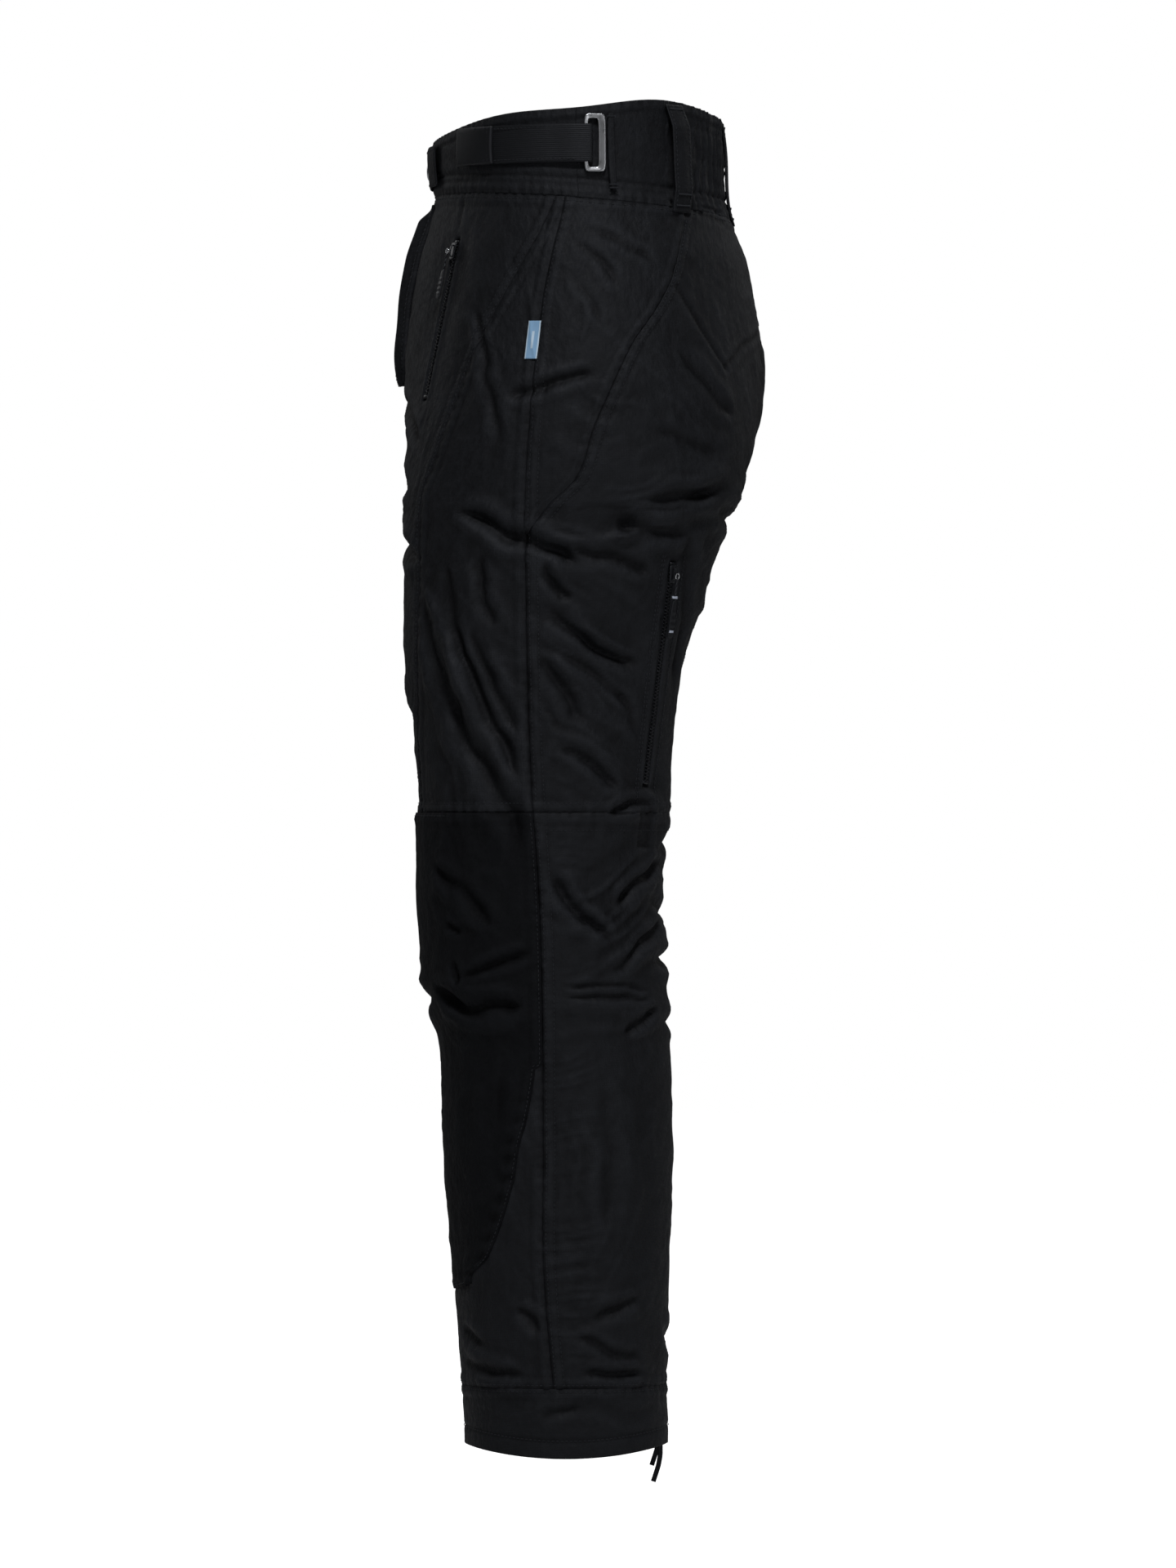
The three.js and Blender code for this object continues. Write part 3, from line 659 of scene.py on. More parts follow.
# Sewn lines that cross a panel: points of y and height on the outer side.
SEWN_LINES = [
    [(76, -78), (84, -90), (90, -99), (102, -120), (115, -141)],
    [(144, -104), (130, -122), (115, -141)],
    [(-90, -2), (-93, -20), (-97, -40)],
]


def unrolled(points):
    """Points of y and height on the outer side in unrolled millimetres."""
    y, z = np.array(points, float).T
    return np.stack([girth(angle_at(y, z), z), z], -1)


def line_distance(s, z, line):
    """Distance from unrolled points to a line, far from it a large number."""
    best = np.full(np.shape(s), 99.0)
    near = ((s > line[:, 0].min() - 12) & (s < line[:, 0].max() + 12)
            & (z > line[:, 1].min() - 12) & (z < line[:, 1].max() + 12))
    if near.any():
        p = np.stack([s[near], z[near]], -1)
        distance = np.full(len(p), 99.0)
        for a, b in zip(line[:-1], line[1:]):
            t = np.clip(((p - a) @ (b - a)) / ((b - a) @ (b - a)), 0, 1)
            distance = np.minimum(distance, np.linalg.norm(p - a - t[:, None] * (b - a), axis=1))
        best[near] = distance
    return best


def drape(angle, z, side=LEFT):
    """How far the worn cloth stands from the plain form: its folds and creasing, still at the centre."""
    angle, z = np.broadcast_arrays(np.asarray(angle, float), np.asarray(z, float))
    s = girth(angle, z)
    seed = 11 if side == LEFT else 47
    height = rumple(s, z, seed) + creases(s, z, seed)
    share = 1.5 if side == LEFT else 1.3
    strength = share * (0.85 + 0.5 * lattice_noise(s / 21 + 50, z / 24 + 50, seed + 90))
    pulled_s = s + 3.2 * lattice_noise(s / 19 + 50, z / 19 + 50, seed + 91)
    pulled_z = z + 3.2 * lattice_noise(s / 21 + 50, z / 17 + 50, seed + 92)
    for depth, width, line in FOLD_LINES:
        height = height + strength * one_fold(pulled_s, pulled_z, depth, width, line)
    for points in SEWN_LINES:
        distance = line_distance(s, z, unrolled(points))
        height = height - 1.3 * np.exp(-(distance / 2.0) ** 2) + 0.5 * np.exp(-((distance - 6) / 3) ** 2)
    _, half, _, _ = section(z)
    room = np.minimum(angle - front_centre(z), back_centre(z) - angle) * half * np.pi / 180
    still = np.clip(room / 22, 0, 1)
    ends = np.clip((z - HEM_Z - 4) / 40, 0.4, 1) * np.clip((16 - z) / 40, 0.12, 1)
    return height * still * still * (3 - 2 * still) * ends


# ---------------------------------------------------------------- cloth panels


def seam_roll(d):
    """Beside a seam: down into it, a ridge over the folded edge inside, and a dip along the outer row."""
    ridge = 0.7 * np.exp(-((d - 5.4) / 2.4) ** 2)
    dip = 0.3 * np.exp(-((d - 9.6) / 1.6) ** 2)
    return -0.25 * np.exp(-(d / 1.2) ** 2) + ridge - dip


def pucker(arc, d, seed):
    """Small gathers across a seam, which die away a finger's width from it."""
    wave = np.sin(2 * np.pi * arc / 8.5 + 2.5 * lattice_noise(arc / 21, arc * 0, seed))
    return 0.42 * wave * np.exp(-(d / 7.0) ** 2) * (0.6 + 0.4 * lattice_noise(arc / 33, arc * 0 + 5, seed))


def lay_out(start, end, low, high, columns, rows, inset=0.0):
    """Angles and heights of a panel's grid between two seams and two edges, found in a few passes."""
    u, v = np.meshgrid(np.linspace(0, 1, columns), np.linspace(0, 1, rows))
    z = low(np.full_like(u, 90.0)) * (1 - v) + high(np.full_like(u, 90.0)) * v
    for _ in range(8):
        _, _, _, reach = section(z)
        trim = np.degrees(inset / reach)
        angle = (start(z) + trim) * (1 - u) + (end(z) - trim) * u
        z = low(angle) * (1 - v) + high(angle) * v
    return angle, z


def to_middle(outer, inner, column, distance, z, fly):
    """Brings a panel's edge to the plane between the halves, and keeps the rest of it on its own side."""
    joins = step(z, CROTCH_Z, CROTCH_Z + 3) * np.exp(-(distance / 7) ** 2)
    if fly:
        joins = joins * (1 - step(z, -149, -142) * step(-z, 4, 9))
    for layer in (outer, inner):
        layer[..., 0] -= joins * (layer[:, column, 0][:, None] - MIDDLE_GAP)
        layer[..., 0] = np.maximum(layer[..., 0], MIDDLE_GAP)


def panel(name, side, start, end, low, high, finish, lift=0.0, thick=SHELL, edges="lrtb", extra=None,
          spacing=GRID, still=False):
    """A shell panel: the drape, a roll and gathers along its sewn edges, and an inner layer.

    The edges are l, r, b and t. The extra height is a function of angle and level.
    """
    levels = np.linspace(float(low(np.array([90.0]))[0]), float(high(np.array([90.0]))[0]), 9)
    _, half, _, reach = section(levels)
    wide = np.max((end(levels) - start(levels)) * np.pi / 180 * (half + reach) / 2)
    columns = int(max(6, wide / spacing)) + 1
    rows = int(max(4, (levels[-1] - levels[0]) / spacing)) + 1
    angle, z = lay_out(start, end, low, high, columns, rows, 0.1)
    flat = place(angle, z)
    across = np.linalg.norm(np.diff(flat, axis=1), axis=-1)
    from_left = np.concatenate([np.zeros((rows, 1)), np.cumsum(across, 1)], 1)
    from_right = from_left[:, -1:] - from_left
    upward = np.linalg.norm(np.diff(flat, axis=0), axis=-1)
    from_low = np.concatenate([np.zeros((1, columns)), np.cumsum(upward, 0)], 0)
    from_high = from_low[-1:] - from_low
    height = np.full(z.shape, float(lift))
    if not still:
        height = height + worn(angle, z, side)
    for letter, d, arc in (("l", from_left, z), ("r", from_right, z), ("b", from_low, from_left),
                           ("t", from_high, from_left)):
        if letter in edges:
            height = height + seam_roll(d) + pucker(arc, d, 5 + ord(letter))
    if extra is not None:
        height = height + extra(angle, z)
    outer = place(angle, z, height)
    inner = place(angle, z, height - thick)
    for column, distance, meets in ((0, from_left, start in (front_centre, fly_edge)),
                                    (-1, from_right, end is back_centre)):
        if meets:
            to_middle(outer, inner, column, distance, z, start is fly_edge)
    made = slab(name, side, outer, inner, np.stack([girth(angle, z), z], -1), finish)
    # the relief kept here is what the cloth finishes paint shade into creases and highlight onto ridges by
    return mark_relief(made, relief(height) * spacing / GRID)


# ---------------------------------------------------------------- finishes


class Finish:
    """A material whose nodes are added one by one; every texture reads the cloth map or the place."""

    def __init__(self, name, roughness=0.6, specular=0.4, metallic=0.0, sheen=0.0, sheen_roughness=0.4):
        """A material with the same shader values all over."""
        self.made = bpy.data.materials.new(name)
        self.made.use_nodes = True
        self.tree = self.made.node_tree
        self.shader = self.tree.nodes["Principled BSDF"]
        self.shader.inputs["Roughness"].default_value = roughness
        self.shader.inputs["Specular IOR Level"].default_value = specular
        self.shader.inputs["Specular Tint"].default_value = (0.95, 0.98, 1.08, 1)
        self.shader.inputs["Metallic"].default_value = metallic
        self.shader.inputs["Sheen Weight"].default_value = sheen
        self.shader.inputs["Sheen Roughness"].default_value = sheen_roughness

    def node(self, kind, **settings):
        """A new node of a kind, with its settings."""
        made = self.tree.nodes.new(kind)
        for key, value in settings.items():
            setattr(made, key, value)
        return made

    def link(self, source, target):
        """Joins an output to an input."""
        self.tree.links.new(source, target)

    def cloth_map(self):
        """The flat place on the cloth."""
        return self.node("ShaderNodeUVMap", uv_map="cloth").outputs[0]

    def own_place(self):
        """The place on the object."""
        return self.node("ShaderNodeTexCoord").outputs["Object"]

    def stretched(self, source, scale):
        """A place drawn out along some of its axes."""
        mapping = self.node("ShaderNodeMapping")
        mapping.inputs["Scale"].default_value = scale
        self.link(source, mapping.inputs["Vector"])
        return mapping.outputs[0]

    def noise(self, source, millimetres, detail=2.0):
        """Cloudy noise with spots of about a size."""
        made = self.node("ShaderNodeTexNoise")
        made.inputs["Scale"].default_value = 1 / (millimetres * MM)
        made.inputs["Detail"].default_value = detail
        self.link(source, made.inputs["Vector"])
        return made.outputs["Fac"]

    def wave(self, source, millimetres, direction, distortion=0.0):
        """Soft stripes at a spacing."""
        made = self.node("ShaderNodeTexWave", bands_direction=direction)
        made.inputs["Scale"].default_value = np.pi / 10 / (millimetres * MM)
        made.inputs["Distortion"].default_value = distortion
        self.link(source, made.inputs["Vector"])
        return made.outputs["Fac"]

    def maths(self, operation, a, b):
        """One sum of two numbers or outputs."""
        made = self.node("ShaderNodeMath", operation=operation)
        for socket, value in zip(made.inputs, (a, b)):
            if isinstance(value, (int, float)):
                socket.default_value = value
            else:
                self.link(value, socket)
        return made.outputs[0]

    def spread(self, source, low, high, new_low, new_high):
        """A value carried from one range to another."""
        made = self.node("ShaderNodeMapRange")
        for key, value in zip(("From Min", "From Max", "To Min", "To Max"), (low, high, new_low, new_high)):
            made.inputs[key].default_value = value
        self.link(source, made.inputs["Value"])
        return made.outputs[0]

    def colours(self, share, first, second):
        """A colour between two, by a share; a colour mix has its two colours at sockets 6 and 7."""
        made = self.node("ShaderNodeMix", data_type="RGBA")
        made.inputs[6].default_value = (*first, 1)
        made.inputs[7].default_value = (*second, 1)
        self.link(share, made.inputs[0])
        return made.outputs[2]

    def times(self, colour, share):
        """A colour made lighter or darker by a share."""
        made = self.node("ShaderNodeMix", data_type="RGBA", blend_type="MULTIPLY")
        made.inputs[0].default_value = 1.0
        self.link(colour, made.inputs[6])
        self.link(share, made.inputs[7])
        return made.outputs[2]

    def bump(self, height, millimetres, strength=1.0, after=None):
        """Small relief by a height, on top of another if given."""
        made = self.node("ShaderNodeBump")
        made.inputs["Distance"].default_value = millimetres * MM
        made.inputs["Strength"].default_value = strength
        self.link(height, made.inputs["Height"])
        if after is not None:
            self.link(after, made.inputs["Normal"])
        return made.outputs[0]

    def ridge(self):
        """Painted light by pointiness: from 1 up a painted highlight on raised edges, under 1 painted shade
        in hollows.
        """
        return self.spread(self.node("ShaderNodeNewGeometry").outputs["Pointiness"], 0.44, 0.56, 0.6, 1.4)

    def painted_relief_shading(self):
        """Painted highlight on ridges and painted shade in deep creases, by the piece's own relief
        attribute.
        """
        height = self.node("ShaderNodeAttribute", attribute_name="relief").outputs["Fac"]
        return self.spread(height, -1.3, 1.0, 0.3, 1.6)

    def done(self, colour, roughness=None, normal=None):
        """Gives the shader its colour, roughness and relief."""
        self.link(colour, self.shader.inputs["Base Color"])
        if roughness is not None:
            self.link(roughness, self.shader.inputs["Roughness"])
        if normal is not None:
            self.link(normal, self.shader.inputs["Normal"])
        return self.made


def grey(value, tint=(0.91, 1.0, 1.2)):
    """A near-neutral colour with a cool tint."""
    return tuple(value * t for t in tint)


def woven_finish(name, dark, light, yarn=0.9, rough=(0.6, 0.8), relief=0.12, specular=0.22, check=0.0):
    """Woven cloth: crossed waves of yarn, specks, soft blotches, painted highlight on ridges with painted
    shade in creases, and a fine check if any.
    """
    f = Finish(name, specular=specular)
    flat = f.cloth_map()
    weave = f.maths("MULTIPLY", f.wave(flat, yarn, "X", 0.3), f.wave(flat, yarn, "Y", 0.3))
    fuzz = f.noise(f.stretched(flat, (1.0, 0.6, 1.0)), 2.4, 5)
    blotch = f.noise(flat, 26, 6)
    mix = f.spread(f.maths("ADD", f.maths("MULTIPLY", blotch, 0.45), f.maths("MULTIPLY", fuzz, 0.55)),
                   0.36, 0.64, 0, 1)
    # painted shade in creases and painted highlight on ridges, by the relief attribute
    colour = f.times(f.colours(mix, grey(dark), grey(light)), f.painted_relief_shading())
    colour = f.times(colour, f.spread(weave, 0, 1, 0.75, 1.2))
    crinkle = f.noise(f.stretched(flat, (1.0, 0.7, 1.0)), 7, 4)
    if check:
        turned = f.node("ShaderNodeMapping")
        turned.inputs["Rotation"].default_value = (0, 0, 0.7)
        f.link(flat, turned.inputs["Vector"])
        boxes = f.node("ShaderNodeTexChecker")
        boxes.inputs["Scale"].default_value = 1 / (check * MM)
        f.link(turned.outputs[0], boxes.inputs["Vector"])
        shown = f.spread(f.noise(flat, 55, 2), 0.42, 0.62, 0.0, 0.35)
        colour = f.times(colour, f.spread(f.maths("MULTIPLY", boxes.outputs["Fac"], shown), 0, 1, 0.95, 1.9))
    roughness = f.spread(fuzz, 0.3, 0.7, rough[0], rough[1])
    normal = f.bump(crinkle, 2.6, 0.6, f.bump(fuzz, 0.3, 0.6, f.bump(weave, relief, 0.6)))
    return f.done(colour, roughness, normal)


def webbing_finish(name, dark, light):
    """Ribbed webbing: close ribs across, a fine weave along, and a fuzzed surface."""
    f = Finish(name, specular=0.25)
    flat = f.cloth_map()
    ribs = f.wave(flat, 1.6, "X", 0.2)
    yarn = f.wave(flat, 0.8, "Y", 0.4)
    fuzz = f.noise(flat, 1.0, 4)
    colour = f.times(f.colours(fuzz, grey(dark), grey(light)), f.spread(ribs, 0, 1, 0.7, 1.2))
    normal = f.bump(yarn, 0.1, 0.5, f.bump(ribs, 0.25, 0.8))
    return f.done(colour, f.spread(fuzz, 0.3, 0.7, 0.5, 0.7), normal)


def metal_finish(name, colour, rough=(0.24, 0.42), brush=(1, 1, 30)):
    """Brushed metal: long fine scratches, cloudy wear, and a painted highlight on raised edges with painted
    shade in hollows.
    """
    f = Finish(name, metallic=1.0)
    scratch = f.noise(f.stretched(f.own_place(), brush), 2.0, 6)
    cloud = f.noise(f.own_place(), 9, 3)
    # painted highlight on raised edges and painted shade in hollows, by pointiness
    base = f.times(f.colours(cloud, tuple(c * 0.82 for c in colour), colour), f.ridge())
    roughness = f.spread(f.maths("ADD", scratch, cloud), 0.7, 1.3, rough[0], rough[1])
    return f.done(base, roughness, f.bump(scratch, 0.05, 0.4))


def moulded_finish(name, dark, light, rough=(0.38, 0.55), grain=0.6):
    """Moulded plastic: a fine leathery grain, slight clouding, and a painted highlight on edges with painted
    shade in hollows.
    """
    f = Finish(name, specular=0.3)
    fine = f.noise(f.own_place(), grain, 3)
    cloud = f.noise(f.own_place(), 12, 2)
    # painted highlight on raised edges and painted shade in hollows, by pointiness
    base = f.times(f.colours(cloud, grey(dark), grey(light)), f.ridge())
    return f.done(base, f.spread(fine, 0.3, 0.7, rough[0], rough[1]), f.bump(fine, 0.06, 0.5))


def label_finish():
    """A woven blue label: fine ribs, a paler woven edge, and a plain pale bar across the middle."""
    f = Finish("woven_label", specular=0.3, sheen=0.2, roughness=0.7)
    flat = f.cloth_map()
    ribs = f.wave(flat, 0.5, "Y", 0.2)
    parts = f.node("ShaderNodeSeparateXYZ")
    f.link(flat, parts.inputs[0])
    across = f.maths("ABSOLUTE", parts.outputs[0], 0)
    edge = f.spread(across, 4.4 * MM, 4.7 * MM, 0, 1)
    up = f.maths("ABSOLUTE", parts.outputs[1], 0)
    tall, wide = f.spread(up, 6.6 * MM, 6.9 * MM, 1, 0), f.spread(across, 0.9 * MM, 1.2 * MM, 1, 0)
    bar = f.maths("MULTIPLY", tall, wide)
    pale = f.maths("MAXIMUM", edge, bar)
    colour = f.colours(pale, (0.24, 0.42, 0.64), (0.55, 0.70, 0.84))
    colour = f.times(colour, f.spread(ribs, 0, 1, 0.78, 1.08))
    return f.done(colour, None, f.bump(ribs, 0.12, 0.7))


def stage_finish():
    """A plain pale floor that shows as white as the surround."""
    f = Finish("pale_floor", roughness=0.9, specular=0.0)
    f.shader.inputs["Base Color"].default_value = (0.7, 0.7, 0.7, 1)
    f.shader.inputs["Emission Color"].default_value = (1, 1, 1, 1)
    f.link(f.node("ShaderNodeLightPath").outputs["Is Camera Ray"], f.shader.inputs["Emission Strength"])
    return f.made


SHELL_CLOTH = woven_finish("shell_cloth", 0.0036, 0.0092, check=1.3)
KNEE_CLOTH = woven_finish("knee_cloth", 0.0027, 0.0045, yarn=0.7, rough=(0.75, 0.9), relief=0.16,
                          specular=0.15)
TRIM_CLOTH = woven_finish("trim_cloth", 0.0045, 0.0085, yarn=1.2, relief=0.2)
GAITER_CLOTH = woven_finish("gaiter_cloth", 0.003, 0.005, yarn=0.6)
PILE = woven_finish("hook_pile", 0.002, 0.0045, yarn=1.5, rough=(0.85, 0.95), relief=0.4)
THREAD = woven_finish("thread", 0.014, 0.022, yarn=0.4, specular=0.3)
PALE_THREAD = woven_finish("pale_thread", 0.5, 0.7, yarn=0.4)
WEBBING = webbing_finish("webbing", 0.0045, 0.008)
TAB_FILM = moulded_finish("tab_film", 0.0035, 0.006, rough=(0.5, 0.65))
ZIP_TAPE = woven_finish("zip_tape", 0.006, 0.009, yarn=0.7)
COIL = moulded_finish("zip_coil", 0.003, 0.006, rough=(0.25, 0.4))
ZIP_METAL = moulded_finish("zip_metal", 0.006, 0.01, rough=(0.25, 0.4))
PULL_CORD = moulded_finish("pull_cord", 0.004, 0.007)
RING_METAL = metal_finish("ring_metal", (0.40, 0.41, 0.43))
BRIGHT_METAL = metal_finish("bright_metal", (0.45, 0.46, 0.48), rough=(0.18, 0.3))
LABEL = label_finish()


# ---------------------------------------------------------------- zips set into the cloth

JOINTS = {joint["name"]: joint for joint in frame["record"]["behaviour"]["joints"]}
ZIP_STACK = 7.4                 # from the middle of the tape to the pull's hinge
SLIDER_BELOW = 9.0              # from the top of a zip to the middle of its slider


def zip_line(kind, tail=""):
    """Start, direction, outward direction and length of a zip, from its slider's two joints."""
    slide, swing = JOINTS[f"{kind}_slider_slide{tail}"], JOINTS[f"{kind}_pull_swing{tail}"]
    down = unit(np.array(slide["axis"], float))
    out = unit(np.cross(swing["axis"], down))
    hinge = np.array(swing["pos_m"]) / MM
    start = hinge - down * SLIDER_BELOW - out * ZIP_STACK
    return {"start": start, "down": down, "out": out, "hinge": hinge,
            "length": slide["range_m"][1] / MM + 2 * SLIDER_BELOW}


HAND, VENT, FLY = zip_line("hand", "_left"), zip_line("vent", "_left"), zip_line("fly")


def zip_bed(angle, z, height, line):
    """Brings the cloth to a straight zip: a gap along the coil, a lip each side, then back to the drape."""
    t = (z - line["start"][2]) / line["down"][2]
    chord = line["start"] + line["down"] * t[..., None]
    centre, half, middle, reach = section(z)
    turn = np.degrees(np.arctan2((chord[..., 0] - centre) / half, (middle - chord[..., 1]) / reach))
    rise = ((chord - place(turn, z)) * normals(turn, z)).sum(-1)
    d = np.abs(girth(angle, z) - girth(turn, z))
    ends = step(t, -16, -1) * step(line["length"] + 16 - t, 0, 15)
    lips = -3.4 + 5.0 * step(d, 2.6, 4.2) - 0.9 * step(d, 6, 9)
    near = (1 - step(d, 9, 34)) * ends
    inside = step(t, -3, 1) * step(line["length"] + 3 - t, 0, 4)
    height = height * (1 - near) + (rise + lips * inside + 0.7 * (1 - inside)) * near
    under_pull = step(t, -30, -10) * step(line["length"] + 70 - t, 0, 20)
    clear = rise + 4.2 + 14 * step(d, 6, 20) + 900 * (1 - under_pull)
    return np.minimum(height, clear)


def worn(angle, z, side=LEFT):
    """The drape with the beds of the hand and vent zips let in."""
    angle, z = np.broadcast_arrays(np.asarray(angle, float), np.asarray(z, float))
    height = drape(angle, z, side)
    for line in (HAND, VENT):
        height = zip_bed(angle, z, height, line)
    return height


# ---------------------------------------------------------------- strips, stitches and their places


def swept(name, side, path, normal, outline, finish):
    """A strip with a closed section along a path, and a cloth map of its width and its length."""
    points, faces = sweep(path, normal, outline)
    outline = np.broadcast_to(outline, (len(path),) + np.shape(outline)[-2:])
    run = running(path)
    across = outline[..., 0]
    flat = np.stack([across, np.broadcast_to((run - run[-1] / 2)[:, None], across.shape)], -1).reshape(-1, 2)
    flat = np.concatenate([flat, [[0, run[0] - run[-1] / 2], [0, run[-1] / 2]]])
    points, faces = mirrored(points, faces, side)
    return solid(name, points, faces, finish, flat)


def on_cloth(angle, z, lift, side=LEFT, still=False):
    """Points a little above the worn cloth."""
    angle, z = np.broadcast_arrays(np.asarray(angle, float), np.asarray(z, float))
    return place(angle, z, (0 if still else worn(angle, z, side)) + lift)


def resample(path, spacing):
    """Points at an even spacing along a path."""
    run = running(path)
    at = np.arange(spacing / 2, run[-1], spacing)
    return np.stack([np.interp(at, run, path[:, k]) for k in range(3)], -1)


STITCH = pebble(0.8, 6, 4)


def stitches(path, normal_of, length=2.7, gap=0.9, thick=0.7):
    """Small rounded dashes that follow a path."""
    spots = resample(path, length + gap)
    along = unit(np.gradient(spots, axis=0))
    out = normal_of(spots)
    out = unit(out - (out * along).sum(-1, keepdims=True) * along)
    across = np.cross(out, along)
    return copies(STITCH, spots, along * length / 2, across * thick / 2, out * thick / 2)


def outward(points):
    """Roughly outward directions at points of the left half: away from the leg's or the waist's centre."""
    centre, half, middle, reach = section(points[:, 2])
    flat = np.stack([(points[:, 0] - centre) / half**2, (points[:, 1] - middle) / reach**2, 0 * centre], -1)
    return unit(flat)


def seam_stitches(edge, z_range, distances, side, lift=0.2, still=False):
    """Lines of stitches beside a seam, at distances in millimetres along the cloth."""
    parts = []
    for distance in distances:
        z = np.linspace(*z_range, 400)
        _, half, _, reach = section(z)
        angle = edge(z) + np.degrees(distance / ((half + reach) / 2))
        path = on_cloth(angle, z, lift + seam_roll(np.abs(distance)), side, still)
        parts.append(stitches(path, outward))
    return parts


def level_stitches(height, angles, offsets, side, lift=0.2, still=False, roll=True):
    """Lines of stitches round the leg, at offsets above an edge that is a function of angle."""
    parts = []
    for offset in offsets:
        angle = np.linspace(*angles, 500)
        z = height(angle) + offset
        dip = seam_roll(np.abs(offset)) if roll else 0
        parts.append(stitches(on_cloth(angle, z, lift + dip, side, still), outward))
    return parts


def tack(centre, along, out, length, width):
    """A bar tack: close stitches side by side over a short bar."""
    count = max(3, int(length / 0.55))
    spots = centre + along * np.linspace(-length / 2, length / 2, count)[:, None]
    across = np.cross(out, along)
    return copies(STITCH, spots, along * 0.36, across * width / 2, out * 0.5)


def frame_at(angle, z):
    """Place, direction round the leg, upward and outward directions of the plain form."""
    around = place(angle + 0.5, z) - place(angle - 0.5, z)
    upward = place(angle, z + 1.0) - place(angle, z - 1.0)
    out = unit(np.cross(around, upward))
    around = unit(np.cross(np.array([0, 0, 1.0]), out))
    return place(angle, z), around, np.cross(out, around), out


def attach(piece, body, nodes=(), bends=None):
    """Rides the piece on its body, or for a piece that crosses the knee bakes its place into its points, and
    hides the parts it stands for.
    """
    if bends:
        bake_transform(piece)
    else:
        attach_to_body(piece, body)
    if nodes:
        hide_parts(*nodes)
    return piece


def sew(name, parts, side, body, bends=None):
    """Stitches as one piece of thread on a body, or with their place baked in where they cross the knee."""
    attach(unmapped(name, joined(parts), side, THREAD), body, (), bends)


def straight_ahead(spots):
    """The same outward direction, to the front, at every spot."""
    return np.broadcast_to([0, -1.0, 0], spots.shape)


# ---------------------------------------------------------------- hips and legs


def back_edge(z):
    """The seat seam down to where it meets the side seam, then the side seam."""
    z = np.asarray(z, float)
    return np.where(z > -275, np.maximum(seat_seam(z), side_seam(z) + 0.1), side_seam(z))


def patch_start(z):
    """The inner edge of the knee cloth, which narrows by a smooth step below the knee."""
    return -90 + 54 * step(-690 - np.asarray(z, float), 0, 165)


def patch_end(z):
    """The outer edge of the knee cloth: the side seam, and below the knee its own curve."""
    return np.where(np.asarray(z) > -690, side_seam(z), np.minimum(patch_edge(z), side_seam(z)))


def patch_low(angle):
    """The lower edge of the knee cloth, a shallow parabola."""
    return -868 + 8 * (np.asarray(angle) / 40.0) ** 2


def under_patch(angle, z):
    """Where the knee cloth lies over it, the shell sits lower."""
    _, half, _, reach = section(z)
    inside = np.minimum(patch_end(z) - angle, angle - patch_start(z)) * np.pi / 180 * (half + reach) / 2
    return -2.0 * step(inside, 0, 6) * step(z, -872, -860)


def patch_gathers(angle, z):
    """Even dimples along the lower edge of the knee cloth."""
    _, half, _, reach = section(z)
    radius = (half + reach) / 2
    inside = (patch_end(z) - angle) * np.pi / 180 * radius
    wave = np.sin(2 * np.pi * z / 15.5) * np.exp(-((inside - 7) / 5) ** 2) * step(-z, 700, 730)
    pinch = np.sin(2 * np.pi * np.radians(angle) * radius / 13) * np.exp(-((z + 855) / 6) ** 2)
    return 1.0 + 1.1 * wave + 0.7 * pinch


def hem_line(angle, z):
    """The sunken line of stitches a finger's width above the hem."""
    return -0.9 * np.exp(-((z - hem_edge(angle) - 14) / 1.4) ** 2)


def make_legs(side, tail):
    """The shell panels of one half, from the waist seam to the hem."""
    shin = f"shin_{tail}"
    knee, inseam, back_inseam = fixed(KNEE_TOP), fixed(-90), fixed(270)
    made = panel(f"front_panel_{tail}", side, fly_edge, pocket_seam, knee, waist_seam, SHELL_CLOTH)
    attach(made, "hips", (f"hip_front_{tail}", f"thigh_front_{tail}"))
    made = panel(f"side_front_panel_{tail}", side, pocket_seam, side_seam, knee, waist_seam, SHELL_CLOTH)
    attach(made, "hips", (f"hip_side_{tail}",))
    made = panel(f"side_back_panel_{tail}", side, side_seam, back_edge, fixed(-275), waist_seam, SHELL_CLOTH,
                 edges="lrt")
    attach(made, "hips")
    made = panel(f"back_panel_{tail}", side, back_edge, back_centre, knee, waist_seam, SHELL_CLOTH)
    attach(made, "hips", (f"seat_{tail}", f"thigh_back_{tail}"))
    made = panel(f"knee_patch_{tail}", side, patch_start, patch_end, patch_low, knee, KNEE_CLOTH,
                 extra=patch_gathers, thick=1.6)
    attach(made, None, (f"knee_patch_{tail}", f"shin_panel_{tail}"), shin)
    made = panel(f"lower_front_{tail}", side, inseam, side_seam, fixed(HEM_TOP), fixed(-676), SHELL_CLOTH,
                 extra=under_patch, edges="lrb")
    attach(made, None, (), shin)
    made = panel(f"lower_back_{tail}", side, side_seam, back_inseam, fixed(HEM_TOP), knee, SHELL_CLOTH)
    attach(made, None, (f"knee_back_{tail}", f"calf_panel_{tail}"), shin)
    made = panel(f"hem_band_{tail}", side, inseam, back_inseam, hem_edge, fixed(HEM_TOP), SHELL_CLOTH,
                 edges="t", thick=3.5, extra=hem_line, spacing=1.8)
    attach(made, shin, (f"hem_band_{tail}",))


